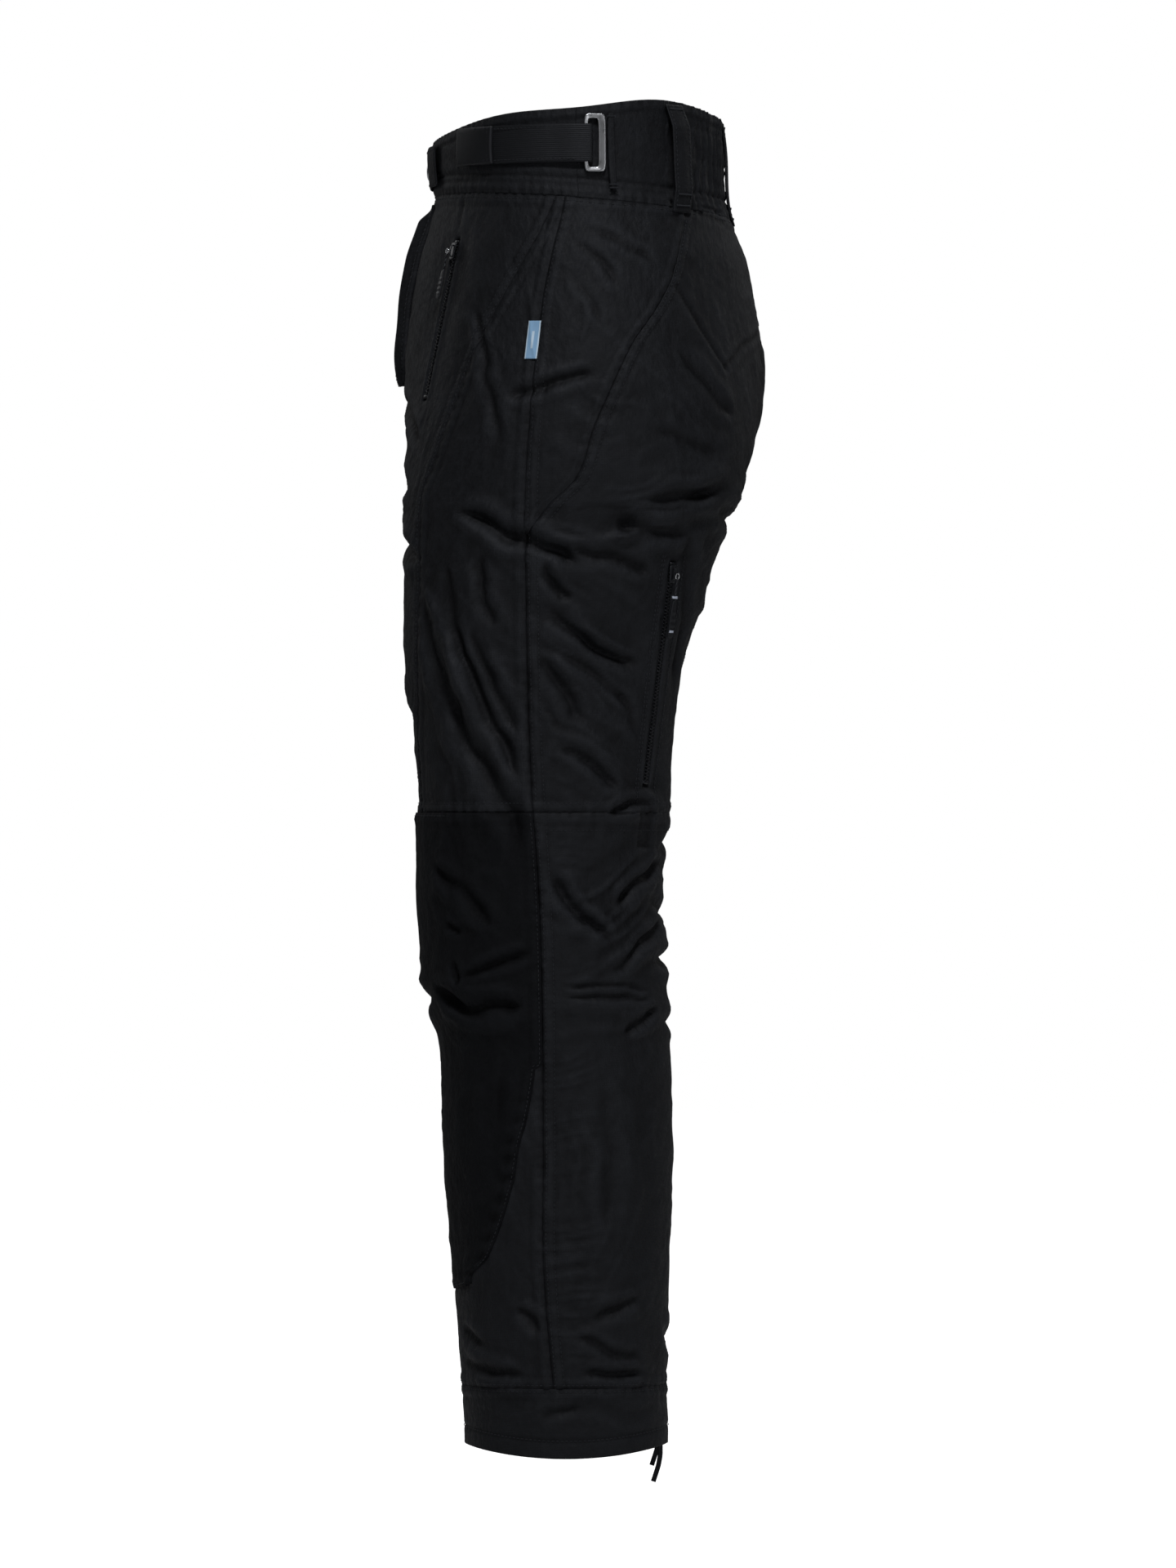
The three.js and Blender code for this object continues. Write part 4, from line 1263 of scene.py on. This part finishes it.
def make_gaiter(side, tail):
    """The inner cuff: a cone from above the hem down to an elastic edge, with soft gathers."""
    u, v = np.meshgrid(np.linspace(0, 1, 181), np.linspace(0, 1, 45))
    angle = -90 + 360 * u
    z = HEM_Z + 28 + 92 * v
    depth = -5.1 - 9 * (1 - v) + 0.9 * np.sin(2 * np.pi * u * 60) * (1 - v) ** 2
    outer, inner = place(angle, z, depth), place(angle, z, depth - 1.4)
    flat = np.stack([girth(angle, z), z], -1)
    made = slab(f"snow_gaiter_{tail}", side, outer[:, :-1], inner[:, :-1], flat[:, :-1], GAITER_CLOTH,
                wrap=True)
    attach(made, f"shin_{tail}", (f"snow_gaiter_{tail}",))


def make_leg_stitching(side, tail):
    """Twin rows beside every seam of the hips and thighs, then those of the lower leg, with their place
    baked in.
    """
    above = (KNEE_TOP + 2, -14)
    hips = seam_stitches(side_seam, above, (2.4, 8.6), side)
    hips += seam_stitches(pocket_seam, (KNEE_TOP + 2, -40), (-2.4, -8.6), side)
    hips += seam_stitches(seat_seam, (-262, -24), (2.4, 8.6), side)
    hips += level_stitches(fixed(KNEE_TOP), (-86, 268), (7.5,), side)
    hips += level_stitches(waist_seam, (-4, 178), (-3.2,), side)
    hips += vent_stitches(side)
    sew(f"hip_stitching_{tail}", hips, side, "hips")
    lower = seam_stitches(side_seam, (HEM_TOP + 2, KNEE_TOP - 2), (2.4, 8.6), side)
    lower += seam_stitches(patch_end, (-850, KNEE_TOP - 2), (-2.2,), side, lift=1.2)
    lower += level_stitches(patch_low, (-32, 32), (2.6,), side, lift=1.2)
    lower += level_stitches(fixed(KNEE_TOP), (-86, 40), (-2.6,), side, lift=1.2)
    lower += level_stitches(fixed(KNEE_TOP - 14), (94, 262), (0,), side, roll=False)
    lower += level_stitches(fixed(HEM_TOP), (-86, 266), (-2.6, 2.6), side)
    sew(f"leg_stitching_{tail}", lower, side, None, bends=f"shin_{tail}")
    low = level_stitches(hem_edge, (-86, 266), (14,), side, roll=False)
    sew(f"hem_stitching_{tail}", low, side, f"shin_{tail}")


def vent_stitches(side):
    """Two rows on each side of the vent zip, square across its lower end."""
    t = np.linspace(-6, VENT["length"] + 62, 300)
    chord = VENT["start"] + VENT["down"] * t[:, None]
    parts = []
    for distance in (-12.5, -10.0, 12.5):
        z = chord[:, 2]
        centre, half, middle, reach = section(z)
        turn = np.degrees(np.arctan2((chord[:, 0] - centre) / half, (middle - chord[:, 1]) / reach))
        angle = turn + np.degrees(distance / ((half + reach) / 2))
        keep = z > KNEE_TOP + 4
        parts.append(stitches(on_cloth(angle[keep], z[keep], 0.25, side), outward))
    return parts


# ---------------------------------------------------------------- waistband and what is sewn to it

BAND_SIDE = float(angle_at(-3, BAND_LEVEL))         # where the smooth front length ends
LOOP_ANGLE = float(angle_at(75, BAND_LEVEL))        # where the elastic length begins
ANCHOR_ANGLE = float(angle_at(24.2, BAND_LEVEL))


def elastic(angle, z):
    """Behind the belt loops the waistband is gathered: uneven upright folds, pinched in sewn channels."""
    arc = girth(angle, z)
    drift = 1.5 * lattice_noise(arc / 17 + 40, z / 60 + 9, 71)
    drift = drift + 0.8 * lattice_noise(arc / 7 + 40, z / 14 + 9, 72)
    fold = 1 - np.abs(np.sin(np.pi * arc / 11 + drift))
    small = lattice_noise(arc / 4.5 + 40, z / 13 + 9, 73)
    band = (z - waist_seam(angle)) / (waist_top(angle) - waist_seam(angle))
    channel = sum(np.exp(-((band - at) / 0.03) ** 2) for at in (0.2, 0.5, 0.8))
    gathered = step(np.abs(angle), LOOP_ANGLE - 7, LOOP_ANGLE + 1)
    return gathered * (2.2 * fold**1.5 + 0.5 * small - 1.0 - 0.5 * channel) + band_line(angle, z)


def band_line(angle, z):
    """A sewn line along the waistband, a finger's width above its seam, and a slight wave beside it."""
    rise = z - waist_seam(angle)
    wave = 0.5 * lattice_noise(girth(angle, z) / 21 + 40, z / 30 + 9, 81)
    return wave - 1.1 * np.exp(-((rise - 15) / 1.5) ** 2) + 0.4 * np.exp(-((rise - 20) / 3) ** 2)


def make_waistband(side, tail):
    """A smooth front length and half of the elastic back length."""
    made = panel(f"waistband_front_{tail}", side, front_centre, fixed(BAND_SIDE + 0.25), waist_seam,
                 waist_top, SHELL_CLOTH, thick=3.6, spacing=1.5, extra=band_line, edges="ltb")
    attach(made, "hips", (f"waistband_front_{tail}",))
    made = panel(f"waistband_back_{tail}", side, fixed(BAND_SIDE), back_centre, waist_seam, waist_top,
                 SHELL_CLOTH, thick=3.4, extra=elastic, spacing=1.0, edges="rtb")
    attach(made, "hips", ("waistband_back",) if side == LEFT else ())


def belt_loop(name, angle, side, nodes, bow=7.5):
    """An upright strip that bows away from the band, tacked flat at its ends."""
    u, v = np.meshgrid(np.linspace(-1, 1, 17), np.linspace(0, 1, 49))
    _, half, _, reach = section(30)
    way = np.radians(angle)
    turn = angle + u * np.degrees(10 / np.hypot(half * np.cos(way), reach * np.sin(way)))
    low, high = waist_seam(angle) - 4, waist_top(angle) - 3
    z = low + (high - low) * v
    swell = np.sin(np.pi * v)
    rise = 1.4 + bow * np.minimum(1, 1.6 * swell) + 0.5 * np.cos(np.pi * u) * swell
    edge = 0.5 * np.abs(u) ** 6
    outer, inner = place(turn, z, rise + 1.1 - edge), place(turn, z, rise - 0.7 + edge)
    flat = np.stack([u * 10, z - low], -1)
    attach(slab(name, side, outer, inner, flat, TRIM_CLOTH), "hips", nodes)
    parts = []
    for k in (2, 14):
        parts.append(stitches(outer[2:-2, k] + 0.15 * normals(turn, z)[2:-2, k], outward))
    for row in (3, 8, 46):
        _, along, _, out = frame_at(angle, float(z[row, 8]))
        parts.append(tack(outer[row, 8] + out * 0.2, along, out, 16, 1.6))
    sew(f"{name}_stitching", parts, side, "hips")


def patch_strip(name, side, y_range, z_range, low, high, finish, count=(61, 25), bulge=0.0):
    """A flat patch on the side of the waistband between two y and two heights, over a range of offsets."""
    y, z = np.meshgrid(np.linspace(*y_range, count[0]), np.linspace(*z_range, count[1]))
    angle = angle_at(y, BAND_LEVEL)
    u = np.linspace(-1, 1, count[0])[None]
    v = np.linspace(-1, 1, count[1])[:, None]
    edge = np.maximum(np.abs(u) ** 40, np.abs(v) ** 16)
    top = high - 0.45 * (high - low) * edge + bulge * (1 - u**2) * (1 - v**2)
    outer, inner = place(angle, z, top), place(angle, z, low + 0 * z)
    flat = np.stack([z - np.mean(z_range), y - np.mean(y_range)], -1)
    return slab(name, side, outer, inner, flat, finish)


def side_line(points, offset):
    """A path on the side of the waistband through points of y and height, at an offset."""
    y, z = np.array(points, float).T
    return place(angle_at(y, BAND_LEVEL), z, offset)


def box_path(y0, y1, z0, z1, offset):
    """A closed rectangle of points on the side of the waistband."""
    long, short = 60, 30
    y = [np.linspace(y0, y1, long), np.full(short, y1), np.linspace(y1, y0, long), np.full(short, y0)]
    z = [np.full(long, z0), np.linspace(z0, z1, short), np.full(long, z1), np.linspace(z1, z0, short)]
    return side_line(np.stack([np.concatenate(y), np.concatenate(z)], -1), offset)


def make_adjuster(side, tail):
    """The waist adjuster: pile on the band, a webbing strap with a film tab, a ring and its anchor."""
    pile = patch_strip(f"pile_patch_{tail}", side, (-96, -6), (22, 46), 0.4, 2.0, PILE)
    attach(pile, "hips", (f"loop_field_{tail}",))
    rows = [stitches(box_path(-94.5, -7.5, 23.4, 44.6, 2.1), outward)]
    sew(f"pile_stitching_{tail}", rows, side, "hips")
    make_strap(side, tail, f"adjuster_strap_{tail}")
    make_ring(side, tail, f"adjuster_ring_{tail}")
    make_anchor(side, tail)


def make_strap(side, tail, body):
    """The strap: over the ring's front bar, then a short way down into the slot, with a tab at its end."""
    straight, bend = np.linspace(-84, 6.5, 90), np.linspace(-0.3, 1.4, 8)
    y = np.concatenate([straight, 8.4 + 1.9 * np.sin(bend)])
    lift = np.concatenate([4 + 2.1 * step(straight, -22, 0), 4.2 + 1.9 * np.cos(bend)])
    thick = np.concatenate([np.full(90, 2.0), np.linspace(2.0, 1.1, 8)])
    path = place(angle_at(np.minimum(y, 30), BAND_LEVEL), BAND_LEVEL, lift)
    path[:, 1] = y
    outline = rounded(1.0, 1.0, 40, 0.32) * np.stack([np.full(len(y), 30.0), thick], -1)[:, None]
    facing = np.cross(unit(np.gradient(path, axis=0)), np.array([0, 0, 1.0]))
    made = swept(f"strap_{tail}", side, path, facing, outline, WEBBING)
    attach(made, body, (f"adjuster_strap_{tail}",))
    made = patch_strip(f"strap_tab_{tail}", side, (-93, -66), (19.2, 48.8), 3.1, 5.9, TAB_FILM,
                       (49, 41), 0.3)
    attach(made, body, (f"adjuster_tab_{tail}",))
    rows = []
    for at in (-71.5, -68.9, -78.6):
        rows.append(stitches(side_line([(at, z) for z in np.linspace(20.5, 47.5, 60)], 5.75), outward))
    along = np.linspace(-65, -4, 90)
    for at in (21.6, 46.4):
        line = side_line([(y, at) for y in along], 5.05 + 2 * step(along, -22, 0))
        rows.append(stitches(line, outward))
    sew(f"strap_stitching_{tail}", rows, side, body)


def make_anchor(side, tail):
    """A folded strip of cloth behind the ring, tacked at both ends."""
    z = np.linspace(-2, 57.5, 60)
    swell = 1 - 0.35 * np.abs((z - 28) / 30) ** 6
    path = place(ANCHOR_ANGLE, z, 3.0 + 0.2 * np.sin(z / 4))
    outline = rounded(1.0, 1.0, 20, 0.5) * np.stack([6.2 * swell, 4.4 * swell], -1)[:, None]
    facing = normals(ANCHOR_ANGLE, BAND_LEVEL)
    made = swept(f"ring_anchor_{tail}", side, path, facing, outline, TRIM_CLOTH)
    attach(made, "hips", (f"ring_anchor_{tail}",))
    parts = []
    for height in (-1.5, 1.2, 55):
        _, along, _, out = frame_at(ANCHOR_ANGLE, height)
        parts.append(tack(place(ANCHOR_ANGLE, height, 5.0), along, out, 6.5, 1.8))
    sew(f"anchor_tacks_{tail}", parts, side, "hips")


def loop_points(width, height, count):
    """Points round a rectangle with round corners: a cosine and a sine to a small power."""
    turn = np.linspace(0, 2 * np.pi, count, endpoint=False)
    c, s = np.cos(turn), np.sin(turn)
    soft = 0.28
    x, y = np.sign(c) * np.abs(c) ** soft, np.sign(s) * np.abs(s) ** soft
    return np.stack([x * (width / 2), y * (height / 2)], -1)


def make_ring(side, tail, body):
    """A flat metal ring: a narrow front bar under the strap, a long slot, and a broad rear bar."""
    joint = JOINTS["adjuster_ring_swing_left"]
    up = unit(np.array(joint["axis"], float))
    pivot = np.array(joint["pos_m"]) / MM
    out = normals(angle_at(12.0, BAND_LEVEL), BAND_LEVEL)
    across = unit(np.cross(up, out))
    out = np.cross(across, up)
    middle = pivot - across * 8.75
    long, short = 96, 16
    outer = loop_points(17.5, 46, long)
    inner = loop_points(8.2, 38.5, long) + np.array([-1.4, 0])
    turn = np.linspace(0, 2 * np.pi, short, endpoint=False)
    c = np.sign(np.cos(turn)) * np.abs(np.cos(turn)) ** 0.6
    s = np.sign(np.sin(turn)) * np.abs(np.sin(turn)) ** 0.6
    flat = (outer + inner)[:, None] / 2 + (outer - inner)[:, None] / 2 * c[None, :, None]
    thick = 1.5 * s * (0.6 + 0.4 * step(c, -0.1, 0.35))
    points = middle + flat[..., :1] * across + flat[..., 1:] * up + thick[None, :, None] * out
    i, j = np.meshgrid(np.arange(long), np.arange(short), indexing="ij")
    a, b = i * short + j, (i + 1) % long * short + j
    a2, b2 = i * short + (j + 1) % short, (i + 1) % long * short + (j + 1) % short
    shape = points.reshape(-1, 3), np.stack([a, b, b2, a2], -1).reshape(-1, 4)
    attach(unmapped(f"ring_{tail}", shape, side, RING_METAL), body, (f"adjuster_ring_{tail}",))


def make_label():
    """The small woven label at the left side seam, which swells a little between its edges."""
    u, v = np.meshgrid(np.linspace(0, 1, 21), np.linspace(0, 1, 45))
    z = -137 + 30 * v
    angle = side_seam(z) - 3.4 + 4.0 * u
    lift = 1.1 + 0.35 * np.sin(np.pi * u) + 0.5 * v * (1 - v)
    outer = on_cloth(angle, z, lift)
    inner = on_cloth(angle, z, lift - 0.7)
    flat = np.stack([(u - 0.5) * 11.3, (v - 0.5) * 30], -1)
    attach(slab("side_label", LEFT, outer, inner, flat, LABEL), "hips", ("side_label",))


# ---------------------------------------------------------------- zips and their sliders


def make_zip(name, side, line, teeth=1.35):
    """A zip: two cloth tapes with beaded edges and two interlocked rows of small teeth."""
    t = np.linspace(0, line["length"], 60)
    path = line["start"] + line["down"] * t[:, None]
    across = np.cross(line["down"], line["out"])
    parts = []
    for way in (-1, 1):
        centre = path + across * way * 3.4 - line["out"] * 0.5
        parts.append(sweep(centre, line["out"], rounded(5.1, 0.9, 12, 0.4)))
    points, faces = joined(parts)
    flat = np.stack([(points - line["start"]) @ across, (points - line["start"]) @ line["down"]], -1)
    points, faces = mirrored(points, faces, side)
    attach(solid(f"{name}_tape", points, faces, ZIP_TAPE, flat), "hips", (name,))
    t = np.arange(1.5, line["length"] - 1.5, teeth)
    row = np.where(np.arange(len(t)) % 2 == 0, -1, 1)
    spots = line["start"] + line["down"] * t[:, None] + across * (row * 0.75)[:, None] + line["out"] * 0.35
    tooth = copies(pebble(0.7, 8, 5), spots, line["down"] * 0.62, -across * 1.75, line["out"] * 0.8)
    ends = line["start"] + line["down"] * np.array([[1.2], [line["length"] - 1.2]]) + line["out"] * 0.4
    stops = copies(pebble(0.5), ends, line["down"] * 1.4, -across * 3.0, line["out"] * 1.1)
    attach(unmapped(f"{name}_teeth", joined([tooth, stops]), side, COIL), "hips")


def make_slider(name, side, line):
    """A slider: two flared plates joined by a wedge, and an arched bridge that holds the pull."""
    down, out = line["down"], line["out"]
    across = np.cross(down, out)
    centre = line["hinge"] - out * ZIP_STACK
    parts = []
    for height, thick in ((-1.6, 0.55), (2.5, 0.7)):
        v = np.linspace(-1, 1, 21)
        width = 3.3 + 1.2 * step(-v, -0.2, 0.8) - 0.8 * np.abs(v) ** 8
        outline = rounded(1.0, 1.0, 20, 0.55) * np.stack([2 * width, np.full(21, 2 * thick)], -1)[:, None]
        parts.append(sweep(centre + down * (v * 6.8)[:, None] + out * height, out, outline))
    wedge = (centre - down * 4.6 + out * 0.4)[None]
    parts.append(copies(pebble(0.4), wedge, down * 1.6, -across * 1.1, out * 2.2))
    arch = np.linspace(0, np.pi, 17)
    rise = 2.9 + 2.0 * np.sin(arch) ** 0.6
    bridge = centre + down * (-4.6 * np.cos(arch))[:, None] + out * rise[:, None]
    parts.append(sweep(bridge, -across, rounded(0.9, 2.2, 12, 0.6)))
    attach(unmapped(name, joined(parts), side, ZIP_METAL), name, (name,))


def make_pull(name, side, line, length, grip):
    """A pull: a metal eye at the hinge, a doubled cord and a moulded grip with ribs."""
    down, out = line["down"], line["out"]
    across = np.cross(down, out)
    top = line["hinge"]
    turn = np.linspace(0, 2 * np.pi, 33)
    eye = top + down * (1.4 - 2.2 * np.cos(turn))[:, None] + across * (2.0 * np.sin(turn))[:, None]
    eye = sweep(eye, out, rounded(0.9, 0.9, 10, 0.9))
    attach(unmapped(f"{name}_eye", eye, side, BRIGHT_METAL), name)
    cord_end = length - grip
    t = np.linspace(2.6, cord_end + 2, 60)
    strands = []
    for way in (-1, 1):
        twist = 2 * np.pi * t / 9 + way * np.pi / 2
        wide, deep = 0.75 * np.sin(twist), 0.35 * np.cos(twist)
        path = top + down * t[:, None] + across * wide[:, None] + out * deep[:, None]
        strands.append(sweep(path, out, rounded(1.3, 1.3, 10, 1.0)))
    attach(unmapped(f"{name}_cord", joined(strands), side, PULL_CORD), name)
    t = np.linspace(0, 1, 60)
    ribs = 0.16 * np.cos(2 * np.pi * t * 6) * step(t, 0.2, 0.3) * step(1 - t, 0.1, 0.2)
    width = (4.2 + 1.8 * step(t, 0, 0.5)) * (1 - 0.35 * np.abs(2 * t - 1) ** 10) + ribs
    thick = (1.7 + 0.3 * np.sin(np.pi * t)) * (1 - 0.35 * np.abs(2 * t - 1) ** 10) + 2 * ribs
    path = top + down * (cord_end + t * grip)[:, None]
    outline = rounded(1.0, 1.0, 24, 0.5) * np.stack([width, thick], -1)[:, None]
    grip = unmapped(f"{name}_grip", sweep(path, out, outline), side, PULL_CORD)
    attach(grip, name, (name,))


def pale_bars(name, side, line, body, places):
    """Small pale wraps of thread across a pull."""
    parts = []
    for at in places:
        path = line["hinge"] + line["down"] * (at + np.linspace(-0.9, 0.9, 5))[:, None]
        parts.append(sweep(path, line["out"], rounded(5.4, 2.5, 16, 0.6)))
    attach(unmapped(name, joined(parts), side, PALE_THREAD), body)


def make_zips(side, tail):
    """The hand and vent zips of one half."""
    for kind, line, length, grip in (("hand", HAND, 40, 24), ("vent", VENT, 50, 30)):
        make_zip(f"{kind}_zip_{tail}", side, line)
        make_slider(f"{kind}_slider_{tail}", side, line)
        make_pull(f"{kind}_pull_{tail}", side, line, length, grip)
    pale_bars(f"vent_pull_bars_{tail}", side, VENT, f"vent_pull_{tail}", (18, 45))


# ---------------------------------------------------------------- fly


def front_point(x, z, offset):
    """A point on the front of the hips at a sideways place, for both halves together."""
    x, z = np.broadcast_arrays(np.asarray(x, float), np.asarray(z, float))
    centre, half, middle, reach = section(z)
    turn = np.arcsin(np.clip((np.abs(x) - centre) / half, -1, 1))
    normal = np.stack([np.sign(x) * np.sin(turn) / half, -np.cos(turn) / reach, 0 * z], -1)
    base = np.stack([x, middle - reach * np.cos(turn), z], -1)
    return base + unit(normal) * np.asarray(offset)[..., None]


def front_slab(name, outer, inner, x, z):
    """A closed piece of shell cloth on the front, between two grids that run from left to right."""
    points, faces = two_layers(outer, inner)
    flat = np.stack([x, z], -1).reshape(-1, 2)
    return solid(name, points, faces[:, ::-1], SHELL_CLOTH, np.concatenate([flat, flat]))


def make_fly():
    """The zip, its slider and pull, and the placket that covers them."""
    make_zip("fly_zip", LEFT, FLY)
    make_slider("fly_slider", LEFT, FLY)
    make_pull("fly_pull", LEFT, FLY, 24, 14)
    left, right, low, tall, corner = 22.0, -14.0, -151.0, 144.5, 26.0
    u, v = np.meshgrid(np.linspace(0, 1, 41), np.linspace(0, 1, 121))
    z = low + tall * v
    curve = np.sqrt(np.clip(1 - ((z - low) / corner - 1) ** 2, 0, 1))
    curve = np.where(z < low + corner, curve, 1)
    x = left + (right - left) * u * (0.55 + 0.45 * curve)
    over_zip = step(12.5 - np.abs(x), 0, 6) * step(-z, 8, 20)
    peak = 9.5 - 1.6 * np.exp(-((z + 95) / 25) ** 2)
    rise = 2.2 + (peak - 2.2) * over_zip + 0.3 * np.sin(2 * np.pi * z / 47)
    sewn = 3.6 * step(x, 14, 21) + 1.6 * step(-x, 8, 13)
    outer, inner = front_point(x, z, rise + 0.9), front_point(x, z, rise - 0.8 - sewn)
    made = front_slab("fly_placket", outer, inner, x, z)
    attach(made, "hips", ("fly_placket",))
    rows = []
    for column in (2, 6, 36, 38):
        rows.append(stitches(outer[2:-2, column] + np.array([0, -0.15, 0]), straight_ahead))
    sew("placket_stitching", rows, LEFT, "hips")


def make_waist_tab():
    """The tab that closes the waistband, with its snap."""
    u, v = np.meshgrid(np.linspace(0, 1, 61), np.linspace(-1, 1, 33))
    angle = 18 - 32 * u
    end = np.sqrt(np.clip(1 - np.clip((u - 0.86) / 0.14, 0, 1) ** 2 * 0.8, 0, 1))
    z = 23 + 16 * v * end
    edge = np.maximum(np.abs(v) ** 12, np.abs(2 * u - 1) ** 40)
    lift = 0.25 * np.sin(3 * np.pi * u)
    x = WAIST_HALF * np.sin(np.radians(angle))
    outer, inner = front_point(x, z, 5.0 - 0.6 * edge + lift), front_point(x, z, 3.0 + 0.4 * edge + lift)
    made = front_slab("waist_tab", outer, inner, x, z)
    attach(made, "waist_tab", ("waist_tab",))
    line = np.concatenate([outer[3, 3:56], outer[4:-4, 56], outer[-4, 56:2:-1]]) + np.array([0, -0.1, 0])
    sew("waist_tab_stitching", [stitches(line, straight_ahead)], LEFT, "waist_tab")
    snap_x = WAIST_HALF * np.sin(np.radians(-10))
    centre = front_point(snap_x, 23, 5.8)
    out = unit(front_point(snap_x, 23, 6.8) - centre)
    cap = [(7.0, -0.6), (7.1, 0.2), (6.6, 0.9), (5.2, 1.35), (4.9, 1.2), (3.0, 1.5), (1.2, 1.62)]
    made = turned("snap_cap", centre, out, cap, 1.65, BRIGHT_METAL)
    attach(made, "waist_tab", ("snap_cap",))
    socket = [(5.0, -1.1), (5.05, 0.2), (4.5, 0.8), (2.2, 0.9), (1.9, 0.2), (0.8, 0.1)]
    made = turned("snap_socket", centre - out * 4.1, out, socket, 0.1, RING_METAL)
    attach(made, "hips", ("snap_socket",))


def turned(name, centre, out, profile, top, finish, count=48):
    """A turned part: its profile of radius and height carried round an axis, closed at both ends."""
    side = unit(np.cross(out, np.array([0, 0, 1.0])))
    other = np.cross(out, side)
    turn = np.linspace(0, 2 * np.pi, count, endpoint=False)
    ring = np.cos(turn)[:, None] * side + np.sin(turn)[:, None] * other
    r, h = np.array(profile, float).T
    points = (centre + ring[None] * r[:, None, None] + out * h[:, None, None]).reshape(-1, 3)
    shape = capped(points, count, len(r), centre + out * h[0], centre + out * top)
    return unmapped(name, shape, LEFT, finish)


# ---------------------------------------------------------------- gaiter tape


def make_gaiter_tape(side, tail):
    """The free end of the gaiter's tape, which hangs below the hem: a limp flat tape with a bare end."""
    route = np.array([(90, 63.6, -968), (90, 63.6, -976), (90, 63.8, -984), (90, 64.2, -992),
                      (90, 64.2, -1000), (90, 62.8, -1008), (90, 60.6, -1015), (90, 58.6, -1021)], float)
    run = running(route)
    at = np.linspace(0, run[-1], 60)
    path = np.stack([np.interp(at, run, route[:, k]) for k in range(3)], -1)
    path[2:-2] = (path[:-4] + path[1:-3] + path[2:-2] + path[3:-1] + path[4:]) / 5
    made = swept(f"gaiter_tape_{tail}", side, path, (1.0, 0, 0), rounded(4.0, 1.2, 16, 0.45), WEBBING)
    attach(made, f"shin_{tail}", (f"gaiter_tape_{tail}",))


# ---------------------------------------------------------------- assembly

make_camera()
make_stage()
for side, tail in SIDES:
    make_gaiter_tape(side, tail)
for side, tail in SIDES:
    make_legs(side, tail)
    make_gaiter(side, tail)
    make_leg_stitching(side, tail)
    make_waistband(side, tail)
    make_adjuster(side, tail)
    make_zips(side, tail)
    belt_loop(f"belt_loop_{tail}", LOOP_ANGLE, side, (f"belt_loop_{tail}",))
belt_loop("belt_loop_back", 180.0, LEFT, ("belt_loop_back",), 0.8)
make_label()
make_fly()
make_waist_tab()
